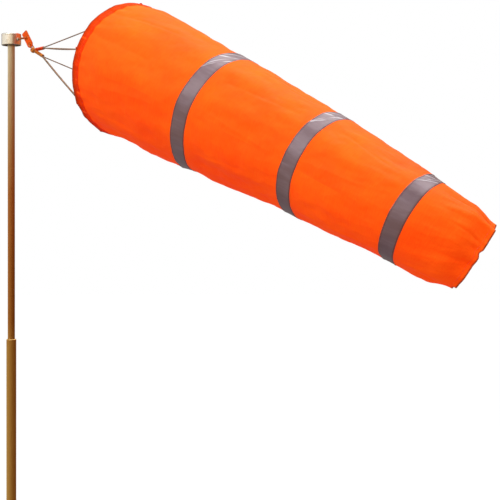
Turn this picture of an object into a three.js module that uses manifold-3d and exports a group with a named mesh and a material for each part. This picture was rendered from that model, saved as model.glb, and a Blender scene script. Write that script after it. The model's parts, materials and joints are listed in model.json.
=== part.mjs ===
// A windsock on a two-stage telescopic pole, in millimetres, +Z up.
// The origin is the centre of the foot cap's flat underside, on the pole's axis.
// The sock flies along +X. Its bridle hangs from a drum that swivels on a ball bearing at the pole's head.

import * as THREE from "three";
import { mergeVertices } from "three/addons/utils/BufferGeometryUtils.js";
import Module from "manifold-3d";

const wasm = await Module();
wasm.setup();

// ---------------------------------------------------------------- driving dimensions

const GAP = 0.3; // between pieces that touch on the real object
const DEG = Math.PI / 180;
const UP = new THREE.Vector3(0, 0, 1);

const POLE = {
  footHeight: 34,
  footFloor: 4,
  footWall: 2,
  lowerRadius: 11,
  lowerWall: 1,
  rimHeight: 800, // top of the lower tube
  lipHeight: 2.5, // the rolled-in end of the lower tube
  upperRadius: 8,
  upperWall: 0.8,
  upperBottom: 697,
  upperTop: 1460,
};

const NECK_BUSH = { bottom: 745, top: 796 };
const COLLAR = { bottom: 700, top: 740, radius: 9.7 }; // split friction collar on the upper tube
const COLLAR_RING = { bottom: 740.4, top: 743.6, radius: 9.4 };

const SPINDLE = {
  spigotLength: 30,
  flangeRadius: 9.2,
  flangeHeight: 3,
  pinRadius: 4,
  pinTop: 1482.5,
  washerRadius: 7,
  washerHeight: 1.3,
  nutAcross: 13,
  nutHeight: 4.6,
};

const BEARING = {
  bottom: 1468,
  height: 7,
  boreRadius: 4.2,
  innerRadius: 6, // outside of the inner ring
  outerRadius: 9.4, // inside of the outer ring
  rimRadius: 10.9,
  pitchRadius: 7.7,
  ballRadius: 1.98,
  grooveRadius: 2.25,
  ballCount: 7,
  cageHalf: 0.8, // half the cage's thickness
  cageBelow: 0.4, // how far the cage reaches below the balls' middles
  cageAbove: 2.9,
};
const BEARING_MIDDLE = BEARING.bottom + BEARING.height / 2;

const DRUM = {
  bottom: 1460.5,
  top: 1486,
  radius: 22,
  wall: 1.4,
  roof: 2,
  edge: 1.6, // radius of the rounded upper edge
  hubRadius: 20.2,
  hubTop: 1477,
  shieldHeight: 1.5,
  screwRadius: 1.5,
};

const EYE = {
  height: 1472.5,
  reach: 50, // from the pole's axis to where the tab hangs
  ringRadius: 8,
  wire: 1.3,
  shankRadius: 2,
};

const TAB = {
  width: 16,
  thickness: 3,
  above: 19, // length above the upper eyelet
  below: 24, // length below it
  lowerHole: 18, // from the upper eyelet to the lower one
  slope: 57 * DEG, // below the horizontal
  eyeletHole: 3.7,
};

const BRIDLE = {
  ringRadius: 6,
  ringWire: 1,
  knotRadius: 7,
  knot: new THREE.Vector3(70.8, 0, 1443.6),
  upperSplit: new THREE.Vector3(102.7, 0, 1445.8), // where the first three cords part
  lowerSplit: new THREE.Vector3(100.5, 0, 1427.4),
  leaderRadius: 1.8,
  cordRadius: 1.2,
  cordGap: 1.2, // between a leader's end and its cords
  fan: 4.6, // how far off the leader's axis the cords start
  cordAngles: [14, 94, 156, 211, 290, 326], // degrees round the mouth, from the -Y side upwards
};

const HOOP = { radius: 137, wire: 2, pitch: 13.2 * DEG, yaw: -11.2 * DEG, knotRadius: 3 };

// The sock's centre line, from the middle of its mouth through its three bands to its tail.
const SOCK_LINE = new THREE.CatmullRomCurve3(
  [
    new THREE.Vector3(350.3, 0, 1377.6),
    new THREE.Vector3(600.7, 0, 1267),
    new THREE.Vector3(835.9, 0, 1156.7),
    new THREE.Vector3(1045.1, 0, 1052),
    new THREE.Vector3(1154, 34, 984),
  ],
  false,
  "centripetal",
);
const SOCK = {
  length: SOCK_LINE.getLength(),
  mouthRadius: 145.5, // of the straight cone at its start
  tailRadius: 79, // of the straight cone at its end
  wall: 1,
  bands: [276, 537, 768], // middles of the reflective bands, from the mouth
  bandWidth: 35,
  bandWall: 0.6,
  bandGap: 0.5, // under a band
  droops: [406, 653], // where the cloth bends
  droopGap: 8,
  sleeveStep: 3, // how far the piece behind a bend starts inside the one before it
  hemLength: 14,
  hemLift: 0.4, // how far the folded tail hem stands proud of the cloth, inside and out
  tailPinch: 15, // how far the unsupported tail draws in from the straight cone
  segments: 40,
};

// ---------------------------------------------------------------- materials

function finish(color, roughness, metalness) {
  return new THREE.MeshStandardMaterial({ color, roughness, metalness });
}
const MATERIAL = {
  goldSteel: finish(0xb08a52, 0.25, 1),
  brightSteel: finish(0xd8d4cc, 0.25, 1),
  steel: finish(0x9c9a96, 0.35, 1),
  nylon: finish(0xd9d4c4, 0.5, 0),
  rubber: finish(0x1c1c1d, 0.8, 0),
  cloth: finish(0xfc5a10, 0.75, 0),
  tape: finish(0x9a96a0, 0.35, 0.3),
  webbing: finish(0xf0561a, 0.8, 0),
  cord: finish(0xa8764a, 0.85, 0),
};

// ---------------------------------------------------------------- geometry helpers

// A solid of revolution about +Z. The profile is [radius, height] pairs, anticlockwise.
function turned(profile, segments = 24) {
  const points = profile.map(([r, z]) => new THREE.Vector2(r, z));
  return new THREE.LatheGeometry(points, segments).rotateX(Math.PI / 2);
}

function washer(inner, outer, bottom, top, segments) {
  const corners = [
    [inner, bottom],
    [outer, bottom],
    [outer, top],
    [inner, top],
    [inner, bottom],
  ];
  return turned(corners, segments);
}

function rod(radius, bottom, top, segments = 20) {
  const corners = [
    [0, bottom],
    [radius, bottom],
    [radius, top],
    [0, top],
  ];
  return turned(corners, segments);
}

// Profile points of an arc about (r, z), from one angle to another.
function arc(r, z, radius, from, to, steps) {
  const points = [];
  for (let i = 0; i <= steps; i++) {
    const angle = from + ((to - from) * i) / steps;
    points.push([r + radius * Math.cos(angle), z + radius * Math.sin(angle)]);
  }
  return points;
}

function hexNut(acrossFlats, boreRadius, height) {
  const corner = acrossFlats / Math.sqrt(3);
  const outline = new THREE.Shape();
  for (let i = 0; i < 6; i++) {
    const angle = (i * Math.PI) / 3;
    const draw = i ? "lineTo" : "moveTo";
    outline[draw](corner * Math.cos(angle), corner * Math.sin(angle));
  }
  outline.closePath();
  outline.holes.push(new THREE.Path().absarc(0, 0, boreRadius, 0, 2 * Math.PI, true));
  return new THREE.ExtrudeGeometry(outline, { depth: height, bevelEnabled: false, curveSegments: 10 });
}

function cordAlong(curve, radius, steps) {
  const section = new THREE.Shape().absarc(0, 0, radius, 0, 2 * Math.PI, false);
  const settings = { steps, extrudePath: curve, bevelEnabled: false, curveSegments: 4 };
  return new THREE.ExtrudeGeometry(section, settings);
}

function toSolid(geometry) {
  const bare = geometry.clone();
  bare.deleteAttribute("normal");
  bare.deleteAttribute("uv");
  const merged = mergeVertices(bare, 1e-3);
  return new wasm.Manifold(
    new wasm.Mesh({
      numProp: 3,
      vertProperties: merged.attributes.position.array,
      triVerts: new Uint32Array(merged.index.array),
    }),
  );
}

function toGeometry(solid) {
  const mesh = solid.getMesh();
  const geometry = new THREE.BufferGeometry();
  geometry.setAttribute("position", new THREE.BufferAttribute(mesh.vertProperties, 3));
  geometry.setIndex(new THREE.BufferAttribute(mesh.triVerts, 1));
  return geometry;
}

function cut(geometry, ...tools) {
  const rest = tools.reduce((solid, tool) => solid.subtract(toSolid(tool)), toSolid(geometry));
  return toGeometry(rest);
}

// A rod lying along a radius of the pole, from one distance to another.
function radialRod(radius, from, to, height, angle) {
  return rod(radius, from, to, 14)
    .rotateY(Math.PI / 2)
    .rotateZ(angle)
    .translate(0, 0, height);
}

// A thin-walled tube through round stations, each {centre, turn, radius}, its ends closed between the walls.
function loftedTube(stations, wall, segments) {
  const positions = [];
  const addLoop = ({ centre, turn, radius }, inset) => {
    for (let i = 0; i < segments; i++) {
      const angle = (2 * Math.PI * i) / segments;
      const point = new THREE.Vector3(Math.cos(angle), Math.sin(angle), 0);
      positions.push(...point.multiplyScalar(radius - inset).applyQuaternion(turn).add(centre));
    }
  };
  stations.forEach((station) => addLoop(station, 0));
  [...stations].reverse().forEach((station) => addLoop(station, wall));
  const loops = 2 * stations.length;
  const index = [];
  for (let loop = 0; loop < loops; loop++) {
    const here = loop * segments;
    const next = ((loop + 1) % loops) * segments;
    for (let i = 0; i < segments; i++) {
      const j = (i + 1) % segments;
      index.push(here + i, here + j, next + j, here + i, next + j, next + i);
    }
  }
  const geometry = new THREE.BufferGeometry();
  geometry.setAttribute("position", new THREE.Float32BufferAttribute(positions, 3));
  geometry.setIndex(index);
  return geometry;
}

const model = new THREE.Group();

function addPiece(parent, name, geometry, material) {
  const mesh = new THREE.Mesh(geometry, material);
  mesh.name = name;
  parent.add(mesh);
  return mesh;
}

// ---------------------------------------------------------------- pole

function makeFootCap() {
  const bore = POLE.lowerRadius + GAP;
  const outside = bore + POLE.footWall;
  const profile = [
    [0, 0],
    [outside - 1.5, 0],
    [outside, 1.5],
    [outside, POLE.footHeight - 1],
    [outside - 1, POLE.footHeight],
    [bore, POLE.footHeight],
    [bore, POLE.footFloor],
    [0, POLE.footFloor],
  ];
  addPiece(model, "foot_cap", turned(profile), MATERIAL.rubber);
}

function makeLowerTube() {
  const outside = POLE.lowerRadius;
  const inside = outside - POLE.lowerWall;
  const neck = POLE.upperRadius + GAP;
  const bend = POLE.lipHeight;
  const top = POLE.rimHeight;
  const profile = [
    [inside, POLE.footFloor + GAP],
    [outside, POLE.footFloor + GAP],
    ...arc(outside - bend, top - bend, bend, 0, Math.PI / 2, 4),
    [neck, top],
    [neck, top - 1],
    [inside, top - bend],
    [inside, POLE.footFloor + GAP],
  ];
  addPiece(model, "lower_tube", turned(profile), MATERIAL.goldSteel);
}

function makeUpperTube() {
  const tube = washer(
    POLE.upperRadius - POLE.upperWall,
    POLE.upperRadius,
    POLE.upperBottom,
    POLE.upperTop,
  );
  addPiece(model, "upper_tube", tube, MATERIAL.goldSteel);
}

function makeSlideFittings() {
  const runOnTube = POLE.upperRadius + GAP;
  const insideLower = POLE.lowerRadius - POLE.lowerWall;
  const bush = washer(runOnTube, insideLower - GAP, NECK_BUSH.bottom, NECK_BUSH.top);
  addPiece(model, "neck_bush", bush, MATERIAL.nylon);

  const split = new THREE.BoxGeometry(2 * COLLAR.radius, 1.5, COLLAR.top - COLLAR.bottom + 2);
  split.translate(COLLAR.radius, 0, (COLLAR.bottom + COLLAR.top) / 2);
  const collar = cut(washer(runOnTube - 0.1, COLLAR.radius, COLLAR.bottom, COLLAR.top), split);
  addPiece(model, "slide_collar", collar, MATERIAL.nylon);

  const ring = washer(runOnTube, COLLAR_RING.radius, COLLAR_RING.bottom, COLLAR_RING.top);
  addPiece(model, "collar_ring", ring, MATERIAL.steel);

  const spigot = POLE.upperRadius - POLE.upperWall - 0.2;
  const seat = POLE.upperBottom - GAP;
  const plug = [
    [0, seat - 3],
    [COLLAR_RING.radius, seat - 3],
    [COLLAR_RING.radius, seat],
    [spigot, seat],
    [spigot, seat + 22],
    [spigot - 1.5, seat + 24],
    [0, seat + 24],
  ];
  addPiece(model, "tube_end_plug", turned(plug), MATERIAL.nylon);
}

// ---------------------------------------------------------------- swivel head

function makeSpindle() {
  const spigot = POLE.upperRadius - POLE.upperWall - 0.2;
  const seat = POLE.upperTop + GAP;
  const shoulder = seat + SPINDLE.flangeHeight;
  const profile = [
    [0, seat - SPINDLE.spigotLength],
    [spigot - 1, seat - SPINDLE.spigotLength],
    [spigot, seat - SPINDLE.spigotLength + 1.5],
    [spigot, seat],
    [SPINDLE.flangeRadius, seat],
    [SPINDLE.flangeRadius, shoulder],
    [SPINDLE.pinRadius, shoulder],
    [SPINDLE.pinRadius, SPINDLE.pinTop - 1],
    [SPINDLE.pinRadius - 1, SPINDLE.pinTop],
    [0, SPINDLE.pinTop],
  ];
  addPiece(model, "spindle", turned(profile), MATERIAL.steel);

  const spacer = washer(BEARING.boreRadius, 6.3, shoulder + GAP, BEARING.bottom - GAP, 24);
  addPiece(model, "bearing_spacer", spacer, MATERIAL.steel);

  const washerBottom = BEARING.bottom + BEARING.height + GAP;
  const washerTop = washerBottom + SPINDLE.washerHeight;
  const flat = washer(BEARING.boreRadius, SPINDLE.washerRadius, washerBottom, washerTop, 24);
  addPiece(model, "spindle_washer", flat, MATERIAL.steel);
  const nut = hexNut(SPINDLE.nutAcross, BEARING.boreRadius, SPINDLE.nutHeight);
  addPiece(model, "spindle_nut", nut, MATERIAL.steel).position.z = washerTop + GAP;
}

function makeBearing() {
  const bottom = BEARING.bottom;
  const top = bottom + BEARING.height;
  const { pitchRadius, grooveRadius, innerRadius, outerRadius } = BEARING;

  const innerReach = Math.acos((pitchRadius - innerRadius) / grooveRadius);
  const inner = [
    [BEARING.boreRadius, bottom],
    [innerRadius, bottom],
    ...arc(pitchRadius, BEARING_MIDDLE, grooveRadius, Math.PI + innerReach, Math.PI - innerReach, 4),
    [innerRadius, top],
    [BEARING.boreRadius, top],
    [BEARING.boreRadius, bottom],
  ];
  addPiece(model, "bearing_inner_ring", turned(inner, 20), MATERIAL.brightSteel);

  const outerReach = Math.acos((outerRadius - pitchRadius) / grooveRadius);
  const outer = [
    [outerRadius, bottom],
    [BEARING.rimRadius, bottom],
    [BEARING.rimRadius, top],
    [outerRadius, top],
    ...arc(pitchRadius, BEARING_MIDDLE, grooveRadius, outerReach, -outerReach, 4),
    [outerRadius, bottom],
  ];
  addPiece(model, "bearing_outer_ring", turned(outer, 24), MATERIAL.brightSteel);

  const pockets = [];
  for (let i = 0; i < BEARING.ballCount; i++) {
    const angle = (2 * Math.PI * i) / BEARING.ballCount;
    const place = new THREE.Vector3(pitchRadius, 0, BEARING_MIDDLE).applyAxisAngle(UP, angle);
    const ball = new THREE.SphereGeometry(BEARING.ballRadius, 9, 6);
    addPiece(model, `bearing_ball_${i + 1}`, ball, MATERIAL.brightSteel).position.copy(place);
    pockets.push(new THREE.SphereGeometry(BEARING.ballRadius + 0.2, 9, 6).translate(...place));
  }
  const { cageHalf, cageBelow, cageAbove } = BEARING;
  const [cageBottom, cageTop] = [BEARING_MIDDLE - cageBelow, BEARING_MIDDLE + cageAbove];
  const crown = washer(pitchRadius - cageHalf, pitchRadius + cageHalf, cageBottom, cageTop, 21);
  addPiece(model, "ball_cage", cut(crown, ...pockets), MATERIAL.nylon);
}

function makeDrum() {
  const { radius, wall, roof, edge, top, bottom, hubRadius, hubTop, screwRadius } = DRUM;
  const shellProfile = [
    [radius - wall, bottom],
    [radius, bottom],
    ...arc(radius - edge, top - edge, edge, 0, Math.PI / 2, 4),
    [0, top],
    [0, top - roof],
    [radius - wall, top - roof],
    [radius - wall, bottom],
  ];
  const hubProfile = [
    [BEARING.rimRadius + GAP, BEARING.bottom],
    [hubRadius, BEARING.bottom],
    [hubRadius, hubTop],
    [BEARING.outerRadius, hubTop],
    [BEARING.outerRadius, BEARING.bottom + BEARING.height + GAP],
    [BEARING.rimRadius + GAP, BEARING.bottom + BEARING.height + GAP],
    [BEARING.rimRadius + GAP, BEARING.bottom],
  ];
  const screwAngles = [90, 180, 270].map((angle) => angle * DEG);
  const holes = screwAngles.map((angle) => radialRod(screwRadius + GAP, 16, radius + 2, EYE.height, angle));
  holes.push(radialRod(EYE.shankRadius + GAP, 13, radius + 2, EYE.height, 0));

  const shell = cut(turned(shellProfile, 32), ...holes);
  addPiece(model, "drum_shell", shell, MATERIAL.brightSteel);
  const hub = cut(turned(hubProfile, 28), ...holes);
  addPiece(model, "drum_hub", hub, MATERIAL.steel);
  screwAngles.forEach((angle, i) => {
    const screw = radialRod(screwRadius, 16.5, radius - 0.2, EYE.height, angle);
    addPiece(model, `grub_screw_${i + 1}`, screw, MATERIAL.steel);
  });

  const shieldTop = BEARING.bottom - GAP;
  const shield = washer(9.6, hubRadius, shieldTop - DRUM.shieldHeight, shieldTop);
  addPiece(model, "dust_shield", shield, MATERIAL.rubber);
}

function makeEye() {
  const middle = EYE.reach - EYE.ringRadius;
  const loop = new THREE.TorusGeometry(EYE.ringRadius, EYE.wire, 8, 22).translate(middle, 0, EYE.height);
  const shank = radialRod(EYE.shankRadius, 13.5, middle - EYE.ringRadius + 0.6, EYE.height, 0);
  const stud = toGeometry(toSolid(loop).add(toSolid(shank)));
  addPiece(model, "eye_stud", stud, MATERIAL.steel);

  const nut = hexNut(7, EYE.shankRadius + GAP, 2.6).rotateY(Math.PI / 2);
  addPiece(model, "eye_nut", nut, MATERIAL.steel).position.set(DRUM.radius + GAP, 0, EYE.height);
}

// ---------------------------------------------------------------- tab and bridle

// Where something that far down the tab from the upper eyelet is.
function alongTab(distance) {
  return new THREE.Vector3(
    EYE.reach + distance * Math.cos(TAB.slope),
    0,
    EYE.height - distance * Math.sin(TAB.slope),
  );
}

function makeEyelet(name, barrel, flange, place) {
  const half = TAB.thickness / 2 + GAP;
  const hole = TAB.eyeletHole - GAP;
  const profile = [
    [barrel, -half - 0.6],
    [flange, -half - 0.4],
    [flange, -half],
    [hole, -half],
    [hole, half],
    [flange, half],
    [flange, half + 0.4],
    [barrel, half + 0.6],
    [barrel, -half - 0.6],
  ];
  const eyelet = turned(profile, 16).rotateX(Math.PI / 2);
  addPiece(model, name, eyelet, MATERIAL.steel).position.copy(place);
}

function makeTab() {
  const half = TAB.width / 2;
  const outline = new THREE.Shape();
  outline.moveTo(-TAB.above, -half + 2);
  outline.lineTo(-TAB.above + 2, -half);
  outline.lineTo(TAB.below - half, -half);
  outline.absarc(TAB.below - half, 0, half, -Math.PI / 2, Math.PI / 2, false);
  outline.lineTo(-TAB.above + 2, half);
  outline.lineTo(-TAB.above, half - 2);
  outline.closePath();
  for (const distance of [0, TAB.lowerHole]) {
    outline.holes.push(new THREE.Path().absarc(distance, 0, TAB.eyeletHole, 0, 2 * Math.PI, true));
  }
  const webbing = new THREE.ExtrudeGeometry(outline, {
    depth: TAB.thickness,
    bevelEnabled: false,
    curveSegments: 10,
  });
  webbing.translate(0, 0, -TAB.thickness / 2).rotateX(Math.PI / 2);
  const tab = addPiece(model, "webbing_tab", webbing, MATERIAL.webbing);
  tab.position.copy(alongTab(0));
  tab.rotation.y = TAB.slope;

  makeEyelet("upper_tab_eyelet", 2.7, 5, alongTab(0));
  makeEyelet("lower_tab_eyelet", 2.4, 4.8, alongTab(TAB.lowerHole));
}

function makeBridleRing() {
  const hole = alongTab(TAB.lowerHole);
  const pull = BRIDLE.knot.clone().sub(hole).normalize();
  const middle = hole.clone().addScaledVector(pull, BRIDLE.ringRadius);
  const tilt = Math.atan2(-pull.z, pull.x);
  const place = (geometry) => geometry.rotateY(tilt).translate(...middle);
  const ring = place(new THREE.TorusGeometry(BRIDLE.ringRadius, BRIDLE.ringWire, 7, 18));
  addPiece(model, "bridle_ring", ring, MATERIAL.steel);

  const channel = place(new THREE.TorusGeometry(BRIDLE.ringRadius, BRIDLE.ringWire + GAP, 7, 18));
  const ball = new THREE.SphereGeometry(BRIDLE.knotRadius, 12, 8).translate(...BRIDLE.knot);
  addPiece(model, "bridle_knot", cut(ball, channel), MATERIAL.cord);
}

function makeLeader(name, split) {
  const pull = split.clone().sub(BRIDLE.knot).normalize();
  const start = BRIDLE.knot.clone().addScaledVector(pull, BRIDLE.knotRadius + GAP);
  const leader = cordAlong(new THREE.LineCurve3(start, split), BRIDLE.leaderRadius, 1);
  addPiece(model, name, leader, MATERIAL.cord);
}

// A turned frame at the hoop: local -X is up, -Y is the near side, and +Z runs down the sock.
function hoopTurn() {
  return new THREE.Quaternion().setFromEuler(new THREE.Euler(0, Math.PI / 2 + HOOP.pitch, HOOP.yaw, "ZYX"));
}

function roundTheHoop(angle, radius) {
  const local = new THREE.Vector3(-radius * Math.sin(angle), -radius * Math.cos(angle), 0);
  return local.applyQuaternion(hoopTurn()).add(SOCK_LINE.getPoint(0));
}

function makeCords() {
  for (const [i, angle] of BRIDLE.cordAngles.entries()) {
    const split = i < BRIDLE.cordAngles.length / 2 ? BRIDLE.upperSplit : BRIDLE.lowerSplit;
    const knot = roundTheHoop(angle * DEG, HOOP.radius - HOOP.wire - HOOP.knotRadius - GAP);
    const spread = knot.clone().sub(split);
    spread.x = 0;
    const start = split.clone().addScaledVector(spread.normalize(), BRIDLE.fan);
    const towards = knot.clone().sub(split).normalize();
    start.addScaledVector(towards, BRIDLE.cordGap);
    const end = knot.clone().addScaledVector(towards, -HOOP.knotRadius - GAP);
    const cord = cordAlong(new THREE.LineCurve3(start, end), BRIDLE.cordRadius, 1);
    addPiece(model, `bridle_cord_${i + 1}`, cord, MATERIAL.cord);
    const ball = new THREE.SphereGeometry(HOOP.knotRadius, 8, 6);
    addPiece(model, `hoop_knot_${i + 1}`, ball, MATERIAL.cord).position.copy(knot);
  }
}

// ---------------------------------------------------------------- sock

function radiusAt(distance) {
  return SOCK.mouthRadius + ((SOCK.tailRadius - SOCK.mouthRadius) * distance) / SOCK.length;
}

// A round station of the cloth, square to the centre line.
function station(distance, change = 0) {
  const share = Math.min(distance / SOCK.length, 1);
  const run = SOCK_LINE.getTangentAt(share);
  const pitch = Math.asin(-run.z);
  const yaw = Math.atan2(run.y, run.x);
  return {
    centre: SOCK_LINE.getPointAt(share),
    turn: new THREE.Quaternion().setFromEuler(new THREE.Euler(0, Math.PI / 2 + pitch, yaw, "ZYX")),
    radius: radiusAt(distance) + change,
  };
}

// The hoop's own station, moved back along its axis.
function mouthStation(back) {
  const turn = hoopTurn();
  const axis = new THREE.Vector3(0, 0, 1).applyQuaternion(turn);
  const radius = HOOP.radius + HOOP.wire + GAP + SOCK.wall;
  return { centre: SOCK_LINE.getPoint(0).addScaledVector(axis, back), turn, radius };
}

function makeHoop() {
  const turn = hoopTurn();
  const hoop = new THREE.TorusGeometry(HOOP.radius, HOOP.wire, 6, SOCK.segments);
  const ring = addPiece(model, "mouth_hoop", hoop, MATERIAL.steel);
  const inside = HOOP.wire + GAP;
  const outside = inside + SOCK.wall;
  const openFrom = 145 * DEG;
  const sleeve = [
    ...arc(HOOP.radius, 0, outside, -openFrom, openFrom, 6),
    ...arc(HOOP.radius, 0, inside, openFrom, -openFrom, 6),
  ];
  sleeve.push(sleeve[0]);
  const hem = addPiece(model, "mouth_hem", turned(sleeve, SOCK.segments), MATERIAL.cloth);
  for (const piece of [ring, hem]) {
    piece.quaternion.copy(turn);
    piece.position.copy(SOCK_LINE.getPoint(0));
  }
}

// The two edges of a reflective band, which the cloth under it shares.
function bandEdges(middle, change = 0) {
  return [station(middle - SOCK.bandWidth / 2, change), station(middle + SOCK.bandWidth / 2, change)];
}

function makeCloth() {
  const [firstDroop, secondDroop] = SOCK.droops;
  const [firstBand, secondBand, thirdBand] = SOCK.bands;
  const step = -SOCK.sleeveStep;
  const hemStart = SOCK.length - SOCK.hemLength;
  const panels = {
    front_panel: [
      mouthStation(HOOP.wire + GAP + SOCK.wall + GAP),
      station(firstBand / 5),
      station(firstBand / 2),
      ...bandEdges(firstBand),
      station(firstDroop - SOCK.droopGap),
    ],
    middle_panel: [
      station(firstDroop - SOCK.droopGap, step),
      ...bandEdges(secondBand),
      station(secondDroop - SOCK.droopGap),
    ],
    tail_panel: [
      station(secondDroop - SOCK.droopGap, step),
      ...bandEdges(thirdBand),
      station((thirdBand + hemStart) / 2, -SOCK.tailPinch / 4),
      station(hemStart - GAP, -SOCK.tailPinch),
    ],
  };
  for (const [name, stations] of Object.entries(panels)) {
    addPiece(model, name, loftedTube(stations, SOCK.wall, SOCK.segments), MATERIAL.cloth);
  }
  const hem = [hemStart, SOCK.length].map((distance) => station(distance, SOCK.hemLift - SOCK.tailPinch));
  addPiece(model, "tail_hem", loftedTube(hem, SOCK.wall + 2 * SOCK.hemLift, SOCK.segments), MATERIAL.cloth);
}

function makeBands() {
  SOCK.bands.forEach((middle, i) => {
    const edges = bandEdges(middle, SOCK.bandWall + SOCK.bandGap);
    const band = loftedTube(edges, SOCK.bandWall, SOCK.segments);
    addPiece(model, `reflective_band_${i + 1}`, band, MATERIAL.tape);
  });
}

// ---------------------------------------------------------------- assembly

makeFootCap();
makeLowerTube();
makeUpperTube();
makeSlideFittings();
makeSpindle();
makeBearing();
makeDrum();
makeEye();
makeTab();
makeBridleRing();
makeLeader("upper_leader", BRIDLE.upperSplit);
makeLeader("lower_leader", BRIDLE.lowerSplit);
makeCords();
makeHoop();
makeCloth();
makeBands();

export default model;
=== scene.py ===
"""A windsock on a telescopic pole: the finished surfaces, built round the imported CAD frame.

Everything is in metres, in the frame's own axes: +Z up the pole, +X the way the sock flies."""

import json
import math

import bpy
import numpy as np
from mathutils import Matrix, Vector, noise


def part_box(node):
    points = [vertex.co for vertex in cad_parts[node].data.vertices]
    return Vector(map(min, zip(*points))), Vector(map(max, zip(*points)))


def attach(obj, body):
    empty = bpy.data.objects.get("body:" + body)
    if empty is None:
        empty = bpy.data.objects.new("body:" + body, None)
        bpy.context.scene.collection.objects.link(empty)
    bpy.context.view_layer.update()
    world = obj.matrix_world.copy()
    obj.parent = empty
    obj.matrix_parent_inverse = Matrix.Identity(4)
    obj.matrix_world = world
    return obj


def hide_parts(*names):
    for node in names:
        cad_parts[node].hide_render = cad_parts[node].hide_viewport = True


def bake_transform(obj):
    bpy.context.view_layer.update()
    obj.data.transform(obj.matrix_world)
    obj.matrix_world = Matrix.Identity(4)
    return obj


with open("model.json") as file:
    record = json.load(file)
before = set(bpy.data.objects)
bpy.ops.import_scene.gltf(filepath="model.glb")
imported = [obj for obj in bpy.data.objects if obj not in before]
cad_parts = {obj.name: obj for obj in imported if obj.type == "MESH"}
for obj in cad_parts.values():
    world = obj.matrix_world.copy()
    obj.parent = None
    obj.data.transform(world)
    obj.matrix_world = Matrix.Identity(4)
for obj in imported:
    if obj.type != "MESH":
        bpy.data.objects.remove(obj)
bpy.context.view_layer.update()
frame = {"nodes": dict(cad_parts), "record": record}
nodes = frame["nodes"]

MM = 0.001
UP = np.array([0.0, 0.0, 1.0])


# ---------------------------------------------------------------- reading the frame

def points_of(node):
    """A CAD node's vertices, as an array."""
    flat = np.zeros(len(nodes[node].data.vertices) * 3, np.float32)
    nodes[node].data.vertices.foreach_get("co", flat)
    return flat.reshape(-1, 3).astype(float)


def centre_of(node):
    """The middle of a CAD node's box."""
    low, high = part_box(node)
    return np.array((low + high) / 2)


def ring_of(node):
    """Centre, axis (towards the sock's tail) and mean radius of a ring-shaped CAD node."""
    points = np.unique(np.round(points_of(node), 6), axis=0)
    centre = points.mean(0)
    spread = np.linalg.svd(points - centre, full_matrices=False)[2]
    axis = spread[2] * np.sign(spread[2][0])
    away = points - centre
    away -= np.outer(away @ axis, axis)
    return centre, axis, float(np.linalg.norm(away, axis=1).mean())


def ends_of(node, origin):
    """The two ends of a rod-shaped CAD node, the nearer one to origin first."""
    points = np.unique(np.round(points_of(node), 6), axis=0)
    centre = points.mean(0)
    axis = np.linalg.svd(points - centre, full_matrices=False)[2][0]
    along = (points - centre) @ axis
    middle = (along.max() + along.min()) / 2
    ends = [points[along < middle].mean(0), points[along > middle].mean(0)]
    return sorted(ends, key=lambda end: np.linalg.norm(end - origin))


# ---------------------------------------------------------------- camera

CAMERA_PLACE = (2.314, -2.204, 1.0)
CAMERA_TURN = 36.7  # degrees from +Y, towards -X. The camera is level.
CAMERA_SENSOR, CAMERA_LENS = 36, 100.8  # mm


def make_camera():
    """The fitted camera, which has the photograph's view."""
    camera = bpy.data.objects.new("camera", bpy.data.cameras.new("camera"))
    bpy.context.scene.collection.objects.link(camera)
    camera.location = CAMERA_PLACE
    camera.rotation_euler = (math.radians(90), 0, math.radians(CAMERA_TURN))
    camera.data.sensor_width = CAMERA_SENSOR
    camera.data.lens = CAMERA_LENS
    camera.data.shift_x = -0.001
    camera.data.clip_end = 100
    bpy.context.scene.camera = camera


make_camera()


# ---------------------------------------------------------------- mesh helpers

def add_mesh(name, points, faces, material, smooth=True, sharp_above=None):
    """A new piece. Edges bent by more than sharp_above degrees are drawn sharp."""
    mesh = bpy.data.meshes.new(name)
    corners = [tuple(map(int, f)) for f in faces]
    mesh.from_pydata([tuple(p) for p in np.asarray(points, float)], [], corners)
    mesh.polygons.foreach_set("use_smooth", [smooth] * len(mesh.polygons))
    if sharp_above is not None:
        mesh.set_sharp_from_angle(angle=math.radians(sharp_above))
    mesh.materials.append(material)
    piece = bpy.data.objects.new(name, mesh)
    bpy.context.scene.collection.objects.link(piece)
    return piece


def grid_faces(rows, columns, wrap_columns=True, wrap_rows=False, start=0):
    """Quads between rows of points, each row running round."""
    r = np.arange(rows if wrap_rows else rows - 1)
    c = np.arange(columns if wrap_columns else columns - 1)
    r, c = np.meshgrid(r, c, indexing="ij")
    a = r * columns + c
    b = r * columns + (c + 1) % columns
    over = ((r + 1) % rows) * columns
    quads = np.stack([a, b, over + (c + 1) % columns, over + c], axis=-1).reshape(-1, 4)
    return quads + start


def unit(v):
    """A vector, or each of an array's vectors, at length 1."""
    v = np.asarray(v, float)
    return v / np.linalg.norm(v, axis=-1, keepdims=True)


def step(low, high, x):
    """0 below low, 1 above high, and smooth between."""
    t = np.clip((np.asarray(x, float) - low) / (high - low), 0, 1)
    return t * t * (3 - 2 * t)


def bump(middle, half, x):
    """1 at middle, falling smoothly to 0 at half away."""
    return 1 - step(0, half, np.abs(np.asarray(x, float) - middle))


def turn_between(theta, middle):
    """The angle from middle to theta, between half a turn back and half a turn on."""
    return (theta - middle + np.pi) % (2 * np.pi) - np.pi


def round_angles(count):
    """Angles spaced evenly round one turn."""
    return np.linspace(0, 2 * np.pi, count, endpoint=False)


def circle(angle, size, side, up):
    """Points round an origin, size away from it at each angle."""
    return np.outer(np.cos(angle) * size, side) + np.outer(np.sin(angle) * size, up)


def hexagon_reach(angle, half_across):
    """How far a hexagon's edge is from its centre at each angle."""
    return half_across / np.cos((angle + np.pi / 6) % (np.pi / 3) - np.pi / 6)


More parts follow.
